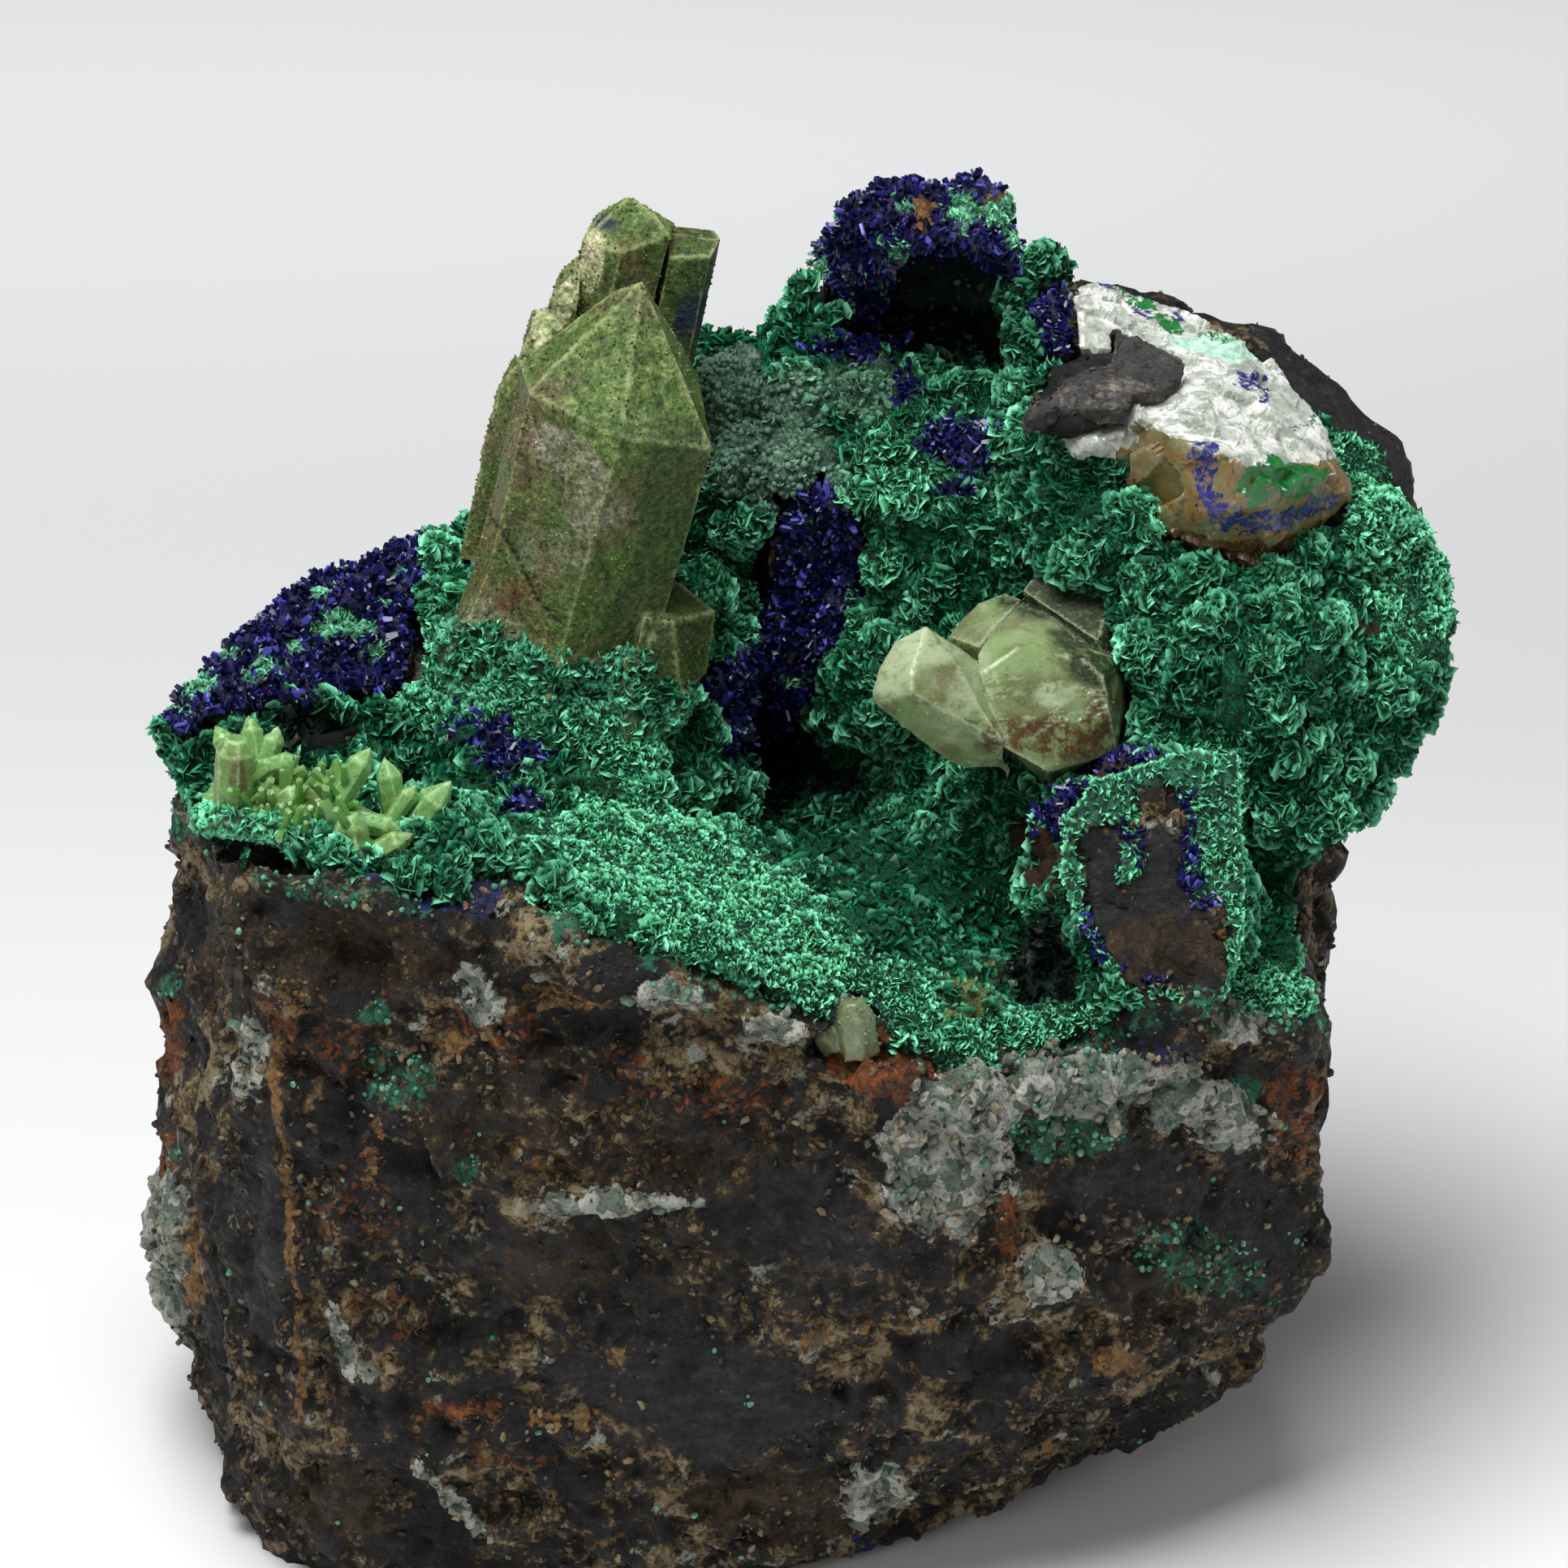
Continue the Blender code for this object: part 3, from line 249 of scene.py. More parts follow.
class Carrier:
    """A surface that patches are laid on."""

    def __init__(self, piece: Piece) -> None:
        """Keep the surface of a piece as a search tree, in millimetres."""
        self.tree = BVHTree.FromPolygons(points_of(piece).tolist(), triangles_of(piece).tolist())

    def meet(self, x: float, y: float) -> Vector | None:
        """Return where the line of sight through a picture point first meets the surface."""
        return self.tree.ray_cast(Vector(VIEW.eye()), VIEW.sight(x, y))[0]

    def fill(self, points: Rows, zones: tuple, wander: float = 5.0) -> Rows:
        """Return how strongly zones cover each point.

        Args:
            points: places in millimetres.
            zones: the zones.
            wander: how far their borders stray, in picture points.

        Returns:
            One share from 0 to 1 for each point.
        """
        seen = VIEW.picture(points)
        seen = seen + np.stack((wave(points, 0.6, 2, 3.0), wave(points, 0.6, 2, 8.0)), axis=1) * wander
        cover = np.zeros(len(points))
        for zone in zones:
            cover = np.maximum(cover, inside_outline(seen, zone.outline) * zone.strength)
        return cover

    def plane(self, spots: tuple) -> tuple:
        """Return the middle and the unit normal, towards the eye, of the plane through three spots."""
        a, b, c = (np.array(self.meet(x, y)) for x, y in spots)
        normal = np.cross(b - a, c - a)
        normal /= np.linalg.norm(normal)
        if normal @ VIEW.axes()[2] > 0:
            normal = -normal
        return (a + b + c) / 3, normal

    def lay(self, points: Rows, patches: tuple, ragged: float = 0.35) -> Rows:
        """Return how strongly patches cover each point.

        Args:
            points: places in millimetres.
            patches: the patches.
            ragged: how far the edge wanders, as a share of the patch.

        Returns:
            One share from 0 to 1 for each point.
        """
        seen = VIEW.picture(points)
        cover = np.zeros(len(points))
        wander = wave(points, 1.6, 3) * ragged + wave(points, 0.45, 2) * ragged * 0.6
        for patch in patches:
            middle = self.meet(patch.x, patch.y)
            if middle is None:
                continue
            turn = math.radians(patch.turn)
            off = seen - (patch.x, patch.y)
            along = (off[:, 0] * math.cos(turn) + off[:, 1] * math.sin(turn)) / patch.along
            across = (off[:, 1] * math.cos(turn) - off[:, 0] * math.sin(turn)) / patch.across
            reach = max(patch.along, patch.across) * VIEW.step * 1.8 + 0.8
            depth = (points - np.array(middle)) @ VIEW.axes()[2] / reach
            far = np.sqrt(along**2 + across**2 + np.maximum(0, np.abs(depth) - 0.6) ** 2 * 4)
            share = np.clip((1.2 - far + wander) / 0.35, 0, 1) * patch.strength
            cover = np.maximum(cover, share)
        return cover


# Numbers over many points


def wave(points: Rows, size: float, octaves: int = 1, shift: float = 0.0) -> Rows:
    """Return smooth noise from about -1 to 1 at each point.

    Args:
        points: places in millimetres.
        size: length of the largest ripple.
        octaves: number of ripples, each half as long as the last.
        shift: moves the pattern.

    Returns:
        One number for each point.
    """
    move = Vector((shift, shift, shift))
    return np.array([noise.fractal(Vector(p) / size + move, 0.9, 2.0, octaves) for p in points])


def cells(points: Rows, size: float, shift: float = 0.0) -> tuple:
    """Return the distance to the nearest and second nearest cell middle, and the middle.

    Args:
        points: places in millimetres.
        size: width of a cell.
        shift: moves the pattern.

    Returns:
        Nearest distance, second distance (both as shares of the size) and middles.
    """
    near = np.empty(len(points))
    second = np.empty(len(points))
    middle = np.empty((len(points), 3))
    for i, p in enumerate(points):
        far, where = noise.voronoi(Vector(p) / size + Vector((shift, shift, shift)))
        near[i], second[i], middle[i] = far[0], far[1], where[0]
    return near, second, (middle - shift) * size


def hashed(values: Rows, salt: float) -> Rows:
    """Return a steady random share for each row of places."""
    mixed = values @ np.array((12.9898, 78.233, 37.719)) + salt
    return np.abs(np.sin(mixed) * 43758.5453) % 1.0


def facets(points: Rows, middle: Rows, salt: float) -> Rows:
    """Return the height at each point of flat faces that each lean their own way.

    Args:
        points: places in millimetres.
        middle: middle of each point's face.
        salt: chooses the leans.

    Returns:
        One height for each point.
    """
    lean = np.stack([hashed(middle, salt + k) - 0.5 for k in range(3)], axis=1)
    return ((points - middle) * lean).sum(axis=1)


def stray(rng: Chance, shape: int | tuple, width: float = 1.0) -> Rows:
    """Return numbers of chance about zero, spread over a width."""
    return (rng.random(shape) - 0.5) * width


# Meshes


@contextmanager
def editing(piece: Piece) -> Iterator[bmesh.types.BMesh]:
    """Open the mesh of a piece, and write it back at the end."""
    work = bmesh.new()
    work.from_mesh(piece.data)
    yield work
    work.to_mesh(piece.data)
    work.free()


def add_object(name: str, data: bpy.types.ID) -> Piece:
    """Put data in the scene as a new object, and return the object."""
    made = bpy.data.objects.new(name, data)
    bpy.context.scene.collection.objects.link(made)
    return made


def copy_of(node: Piece, name: str) -> Piece:
    """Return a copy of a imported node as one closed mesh, under a new name."""
    mesh = bpy.data.meshes.new(name)
    work = bmesh.new()
    work.from_mesh(node.data)
    bmesh.ops.remove_doubles(work, verts=work.verts, dist=WELD * MM)
    work.to_mesh(mesh)
    work.free()
    return add_object(name, mesh)


def apply_modifiers(piece: Piece) -> None:
    """Make the modifiers of a piece part of its mesh."""
    graph = bpy.context.evaluated_depsgraph_get()
    mesh = bpy.data.meshes.new_from_object(piece.evaluated_get(graph))
    piece.modifiers.clear()
    old = piece.data
    piece.data = mesh
    bpy.data.meshes.remove(old)


def refine(piece: Piece, voxel: float) -> None:
    """Rebuild a piece as small even faces.

    Args:
        piece: the piece.
        voxel: width of a face in millimetres.
    """
    remesh = piece.modifiers.new("even", "REMESH")
    remesh.mode = "VOXEL"
    remesh.voxel_size = voxel * MM
    remesh.use_smooth_shade = True
    apply_modifiers(piece)


def split_long(piece: Piece, longest: float) -> None:
    """Cut the long edges of a piece, keeping its flat faces and its sharp edges.

    Args:
        piece: the piece.
        longest: length above which an edge is cut, in millimetres.
    """
    with editing(piece) as work:
        bmesh.ops.triangulate(work, faces=work.faces)
        for _ in range(HALVINGS):
            long = [e for e in work.edges if e.calc_length() > longest * MM]
            bmesh.ops.subdivide_edges(work, edges=long, cuts=1)
            bmesh.ops.triangulate(work, faces=work.faces)
        # Corners on sharp edges get the edge share, along which the quartz finishes paint a highlight.
        layer = work.verts.layers.float.new("edge")
        for edge in work.edges:
            if edge.is_manifold and edge.calc_face_angle() > SHARP:
                for vert in edge.verts:
                    vert[layer] = 1.0


def triangulate(piece: Piece) -> None:
    """Cut every face of a piece into triangles."""
    with editing(piece) as work:
        bmesh.ops.triangulate(work, faces=work.faces)


def soften(piece: Piece, factor: float, low: float = -1.0) -> None:
    """Even out the surface of a piece above a height.

    Args:
        piece: the piece.
        factor: how far each corner moves towards its neighbours, as a share.
        low: the height up to which nothing moves, in millimetres.
    """
    with editing(piece) as work:
        high = [v for v in work.verts if v.co.z > low * MM]
        bmesh.ops.smooth_vert(work, verts=high, factor=factor, use_axis_x=True, use_axis_y=True, use_axis_z=True)


def points_of(piece: Piece) -> Rows:
    """Return the corners of a piece in millimetres."""
    flat = np.empty(len(piece.data.vertices) * 3)
    piece.data.vertices.foreach_get("co", flat)
    return flat.reshape(-1, 3) / MM


def normals_of(piece: Piece) -> Rows:
    """Return the corner normals of a piece."""
    flat = np.empty(len(piece.data.vertices) * 3)
    piece.data.vertices.foreach_get("normal", flat)
    return flat.reshape(-1, 3)


def triangles_of(piece: Piece) -> Rows:
    """Return the corner numbers of a piece's triangles."""
    piece.data.calc_loop_triangles()
    flat = np.empty(len(piece.data.loop_triangles) * 3, np.int32)
    piece.data.loop_triangles.foreach_get("vertices", flat)
    return flat.reshape(-1, 3)


def carrier_of(node: Piece) -> Carrier:
    """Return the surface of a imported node."""
    bare = copy_of(node, "bare")
    carrier = Carrier(bare)
    bpy.data.objects.remove(bare)
    return carrier


def move_points(piece: Piece, points: Rows) -> None:
    """Set the corners of a piece, given in millimetres."""
    piece.data.vertices.foreach_set("co", (points * MM).ravel())
    piece.data.update()


def set_share(piece: Piece, name: str, values: Rows) -> None:
    """Bake one number a corner into a piece under a name."""
    layer = piece.data.attributes.get(name)
    if layer is None:
        layer = piece.data.attributes.new(name, "FLOAT", "POINT")
    layer.data.foreach_set("value", values.astype(np.float32))


def dress(piece: Piece, material: Material, smooth: bool) -> None:
    """Give a piece its finish and its shading."""
    piece.data.materials.clear()
    piece.data.materials.append(material)
    piece.data.polygons.foreach_set("material_index", [0] * len(piece.data.polygons))
    piece.data.polygons.foreach_set("use_smooth", [smooth] * len(piece.data.polygons))


def settle(piece: Piece, material: Material, smooth: bool, slot: str, node: str = "") -> None:
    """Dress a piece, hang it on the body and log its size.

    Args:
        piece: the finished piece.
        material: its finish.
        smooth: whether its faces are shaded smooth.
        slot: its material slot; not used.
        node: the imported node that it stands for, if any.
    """
    dress(piece, material, smooth)
    if node:
        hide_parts(node)
    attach(piece, BODY)
    piece.data.calc_loop_triangles()
    LOG.info("%s: %d triangles", piece.name, len(piece.data.loop_triangles))


# Swarms of small crystals


class Seed(Enum):
    """The shape that a swarm repeats."""

    SLIVER = "sliver"
    FLAKE = "flake"
    CURL = "curl"
    BLOCK = "block"
    SHARD = "shard"
    SPECK = "speck"
    BEAD = "bead"
    PRISM = "prism"


# Segments and rings of the seeds that are coarse balls.
BALLS = {Seed.SLIVER: (3, 2), Seed.FLAKE: (4, 2), Seed.CURL: (3, 3), Seed.SPECK: (4, 2)}
# Corners of a broken grain: turn round its axis, height and reach.
SHARD_CORNERS = (
    (0.2, -0.45, 0.30), (1.9, -0.5, 0.38), (3.6, -0.4, 0.34), (5.1, -0.48, 0.26), (0.9, 0.1, 0.5),
    (2.7, 0.05, 0.47), (4.4, -0.05, 0.5), (5.8, 0.15, 0.42), (1.4, 0.5, 0.22), (3.9, 0.42, 0.3),
)


def seed_shape(kind: Seed) -> tuple:
    """Make the shape that a swarm repeats, about one unit long.

    Args:
        kind: which shape.

    Returns:
        Corners and triangles as arrays.
    """
    work = bmesh.new()
    if kind in BALLS:
        segments, rings = BALLS[kind]
        bmesh.ops.create_uvsphere(work, u_segments=segments, v_segments=rings, radius=0.5)
    elif kind is Seed.BLOCK:
        bmesh.ops.create_cube(work, size=1.0)
        top = [v for v in work.verts if v.co.z > 0]
        bmesh.ops.scale(work, vec=(0.5, 0.85, 1.0), verts=top)
    elif kind is Seed.SHARD:
        for turn, height, reach in SHARD_CORNERS:
            work.verts.new((reach * math.cos(turn), reach * math.sin(turn), height))
        bmesh.ops.convex_hull(work, input=work.verts)
    elif kind is Seed.PRISM:
        bmesh.ops.create_cone(work, cap_ends=True, segments=5, radius1=0.5, radius2=0.34, depth=1.0)
    else:
        bmesh.ops.create_icosphere(work, subdivisions=1, radius=0.5)
    bmesh.ops.triangulate(work, faces=work.faces)
    bmesh.ops.recalc_face_normals(work, faces=work.faces)
    work.verts.index_update()
    corners = np.array([v.co for v in work.verts])
    triangles = np.array([[v.index for v in f.verts] for f in work.faces])
    work.free()
    return corners, triangles


@dataclass
class Ground:
    """A surface that a swarm grows on, with the shares baked into it."""

    piece: Piece
    shares: dict = field(default_factory=dict)

    def sow(self, density: Rows, rng: Chance) -> tuple:
        """Choose places on the surface.

        Args:
            density: crystals a square millimetre at each corner.
            rng: source of chance.

        Returns:
            Places, normals, and a function that carries corner values to the places.
        """
        points, normals = points_of(self.piece), normals_of(self.piece)
        tris = triangles_of(self.piece)
        a, b, c = points[tris[:, 0]], points[tris[:, 1]], points[tris[:, 2]]
        area = np.linalg.norm(np.cross(b - a, c - a), axis=1) / 2
        hope = area * density[tris].mean(axis=1)
        total = int(hope.sum())
        if total == 0:
            return np.zeros((0, 3)), np.zeros((0, 3)), lambda v: np.zeros(0)
        steps = np.cumsum(hope)
        chosen = np.searchsorted(steps, rng.random(total) * steps[-1])
        chosen = np.minimum(chosen, len(tris) - 1)
        u, v = rng.random(total), rng.random(total)
        fold = u + v > 1
        u[fold], v[fold] = 1 - u[fold], 1 - v[fold]
        w = 1 - u - v
        corner = tris[chosen]

        def carry(values: Rows) -> Rows:
            """Blend corner values at the places."""
            first, second, third = (values[corner[:, k]].T for k in range(3))
            return np.ascontiguousarray((first * w + second * u + third * v).T)

        return carry(points), unit(carry(normals)), carry


def sow_all(pairs: list, rng: Chance) -> tuple:
    """Choose places on several surfaces.

    Args:
        pairs: a piece and its crystals a square millimetre at each corner, in each.
        rng: source of chance.

    Returns:
        Places and normals.
    """
    found = [Ground(piece).sow(density, rng)[:2] for piece, density in pairs]
    return tuple(np.concatenate(rows) for rows in zip(*found))


def unit(rows: Rows) -> Rows:
    """Return each row at length one."""
    return rows / np.maximum(np.linalg.norm(rows, axis=1), TINY)[:, None]


def swirl(points: Rows, normals: Rows, size: float, loose: Rows) -> Rows:
    """Return directions along the surface that turn slowly from place to place.

    Args:
        points: places in millimetres.
        normals: surface normals there.
        size: width over which the direction holds.
        loose: an angle added at each place, in radians.

    Returns:
        Unit directions.
    """
    axis = np.where(np.abs(normals[:, 2:3]) < 0.9, (0.0, 0.0, 1.0), (1.0, 0.0, 0.0))
    east = unit(np.cross(axis, normals))
    north = np.cross(normals, east)
    angle = wave(points, size, 2, 7.3) * math.pi * 2.4 + loose
    return east * np.cos(angle)[:, None] + north * np.sin(angle)[:, None]


def grow(
    name: str,
    kind: Seed,
    places: Rows,
    along: Rows,
    rise: Rows,
    size: Rows,
    bend: Rows,
    shares: dict,
    jitter: float,
    rng: Chance,
) -> Piece:
    """Join many copies of a shape in one mesh.

    Args:
        name: name of the piece.
        kind: the shape that is repeated.
        places: middle of each copy in millimetres.
        along: direction of each copy's long axis.
        rise: direction of each copy's height.
        size: length, thickness and height of each copy in millimetres.
        bend: how far the ends turn sideways, as a share of the length.
        shares: numbers of each copy that are baked into the mesh.
        jitter: how far each corner strays, as a share of the size.
        rng: source of chance.

    Returns:
        The joined piece.
    """
    corners, triangles = seed_shape(kind)
    side = unit(np.cross(along, rise))
    rise = np.cross(side, along)
    count, each = len(places), len(corners)
    local = np.repeat(corners[None], count, axis=0)
    if jitter:
        local = local * (1 + stray(rng, (count, each, 3), jitter))
    stretch = local[:, :, 2]
    sideways = local[:, :, 1] * size[:, 1:2] - (stretch**2 * 4 - 0.5) * (bend * size[:, 0])[:, None]
    lengthwise = stretch * size[:, 0:1]
    upward = local[:, :, 0] * size[:, 2:3]
    spots = (
        places[:, None]
        + along[:, None] * lengthwise[..., None]
        + side[:, None] * sideways[..., None]
        + rise[:, None] * upward[..., None]
    )
    numbers = (triangles[None] + (np.arange(count) * each)[:, None, None]).reshape(-1, 3)
    mesh = bpy.data.meshes.new(name)
    mesh.vertices.add(count * each)
    mesh.vertices.foreach_set("co", (spots * MM).ravel())
    mesh.loops.add(numbers.size)
    mesh.loops.foreach_set("vertex_index", numbers.ravel())
    mesh.polygons.add(len(numbers))
    mesh.polygons.foreach_set("loop_start", np.arange(len(numbers)) * 3)
    mesh.update(calc_edges=True)
    piece = add_object(name, mesh)
    # The tip share runs from the foot to the top of each copy; the blade finish paints shade at the foot and a
    # highlight at the top from it.
    set_share(piece, "tip", np.clip(local[:, :, 0] + 0.5, 0, 1).ravel())
    for label, values in shares.items():
        set_share(piece, label, np.repeat(values, each))
    return piece


# Finishes


class Graph:
    """Short names for the shader nodes that the finishes are made of."""

    def __init__(self, name: str) -> None:
        """Start a material with one plain shader."""
        self.material = bpy.data.materials.new(name)
        self.material.use_nodes = True
        self.tree = self.material.node_tree
        self.shader = self.tree.nodes["Principled BSDF"]
        self.coords = self.tree.nodes.new("ShaderNodeTexCoord").outputs["Object"]
        self.colour = None

    def link(self, source: object, socket: Socket) -> None:
        """Join a source to a socket, or set the socket to a number or colour."""
        if isinstance(source, Socket):
            self.tree.links.new(source, socket)
        elif isinstance(source, tuple) and socket.type == "RGBA":
            socket.default_value = (*source[:3], 1.0)
        else:
            socket.default_value = source

    def stretch(self, factors: tuple, turn: tuple = (0.0, 0.0, 0.0)) -> Socket:
        """Return coordinates that are turned and stretched."""
        node = self.tree.nodes.new("ShaderNodeMapping")
        self.link(self.coords, node.inputs["Vector"])
        node.inputs["Scale"].default_value = factors
        node.inputs["Rotation"].default_value = turn
        return node.outputs["Vector"]

    def texture(self, kind: str, size: float, where: Socket | None = None) -> bpy.types.Node:
        """Return a pattern node whose features have a size in millimetres."""
        node = self.tree.nodes.new("ShaderNodeTex" + kind)
        self.link(where or self.coords, node.inputs["Vector"])
        node.inputs["Scale"].default_value = 1.0 / (size * MM)
        return node

    def warp(self, size: float, reach: float) -> Socket:
        """Return coordinates that wander by a reach in millimetres."""
        node = self.texture("Noise", size)
        node.inputs["Detail"].default_value = 3.0
        spread = self.tree.nodes.new("ShaderNodeVectorMath")
        spread.operation = "MULTIPLY_ADD"
        self.link(node.outputs["Color"], spread.inputs[0])
        spread.inputs[1].default_value = (reach * MM,) * 3
        self.link(self.coords, spread.inputs[2])
        return spread.outputs["Vector"]

    def noise(self, size: float, detail: float = 4.0, rough: float = 0.6, where: Socket | None = None,
              twist: float = 0.0) -> Socket:
        """Return noise with ripples of a size in millimetres."""
        node = self.texture("Noise", size, where)
        node.inputs["Detail"].default_value = detail
        node.inputs["Roughness"].default_value = rough
        node.inputs["Distortion"].default_value = twist
        return node.outputs["Fac"]

    def cell(self, size: float, out: str = "Distance") -> Socket:
        """Return a cell pattern with cells of a size in millimetres."""
        return self.texture("Voronoi", size).outputs[out]

    def pick(self, size: float, where: Socket | None = None) -> tuple:
        """Return two steady random shares for each grain of a size, and the distance to its middle."""
        node = self.texture("Voronoi", size, where)
        parts = self.tree.nodes.new("ShaderNodeSeparateColor")
        self.link(node.outputs["Color"], parts.inputs["Color"])
        return parts.outputs["Red"], parts.outputs["Green"], node.outputs["Distance"]

    def share(self, name: str) -> Socket:
        """Return a number that is baked into the mesh."""
        node = self.tree.nodes.new("ShaderNodeAttribute")
        node.attribute_name = name
        return node.outputs["Fac"]

    def sum(self, kind: str, a: object, b: object = 0.0, clamp: bool = False) -> Socket:
        """Return the result of one sum."""
        node = self.tree.nodes.new("ShaderNodeMath")
        node.operation = kind
        node.use_clamp = clamp
        self.link(a, node.inputs[0])
        self.link(b, node.inputs[1])
        return node.outputs["Value"]

    def plus(self, a: object, b: object) -> Socket:
        """Return two values added."""
        return self.sum("ADD", a, b)

    def times(self, a: object, b: object, clamp: bool = False) -> Socket:
        """Return two values multiplied."""
        return self.sum("MULTIPLY", a, b, clamp)

    def about(self, value: object, width: float) -> Socket:
        """Return a value from 0 to 1 moved about zero and spread over a width."""
        return self.times(self.sum("SUBTRACT", value, 0.5), width)

    def span(self, value: object, low: float, high: float, to_low: float = 0.0, to_high: float = 1.0) -> Socket:
        """Return a value carried smoothly from one range to another."""
        node = self.tree.nodes.new("ShaderNodeMapRange")
        node.interpolation_type = "SMOOTHSTEP"
        self.link(value, node.inputs["Value"])
        for label, number in (("From Min", low), ("From Max", high), ("To Min", to_low), ("To Max", to_high)):
            node.inputs[label].default_value = number
        return node.outputs["Result"]

    def ramp(self, value: object, stops: tuple) -> Socket:
        """Return a colour from a row of stops (place, colour)."""
        node = self.tree.nodes.new("ShaderNodeValToRGB")
        self.link(value, node.inputs["Fac"])
        band = node.color_ramp
        while len(band.elements) < len(stops):
            band.elements.new(0.5)
        for element, (place, colour) in zip(band.elements, stops):
            element.position = place
            element.color = (*colour, 1.0)
        return node.outputs["Color"]

    def tint(self, a: object, b: object) -> Socket:
        """Return two colours multiplied."""
        return self.mix(1.0, a, b, "MULTIPLY")

    def mix(self, share: object, a: object, b: object, kind: str = "MIX") -> Socket:
        """Return a blend of two colours."""
        node = self.tree.nodes.new("ShaderNodeMix")
        node.data_type = "RGBA"
        node.blend_type = kind
        self.link(share, node.inputs[0])
        self.link(a, node.inputs[6])
        self.link(b, node.inputs[7])
        return node.outputs[2]

    def over(self, share: object, tone: object) -> None:
        """Lay a tone over the colour so far."""
        self.colour = self.mix(share, self.colour, tone)

    def keep(self, share: object, tone: object) -> None:
        """Keep the colour so far where the share is full, and lay a tone elsewhere."""
        self.colour = self.mix(share, tone, self.colour)

    def bump(self, height: object, depth: float, strength: float = 1.0, under: Socket | None = None) -> Socket:
        """Return a normal that shows a height pattern of a depth in millimetres."""
        node = self.tree.nodes.new("ShaderNodeBump")
        node.inputs["Strength"].default_value = strength
        node.inputs["Distance"].default_value = depth * MM
        self.link(height, node.inputs["Height"])
        if under is not None:
            self.link(under, node.inputs["Normal"])
        return node.outputs["Normal"]

    def relief(self, *layers: tuple) -> Socket:
        """Return a normal that shows patterns over one another, each with its depth and strength."""
        normal = None
        for height, depth, strength in layers:
            normal = self.bump(height, depth, strength, normal)
        return normal

    def set(self, **sockets: object) -> None:
        """Set or join sockets of the shader, named with underscores for blanks."""
        for label, source in sockets.items():
            self.link(source, self.shader.inputs[label.replace("_", " ")])


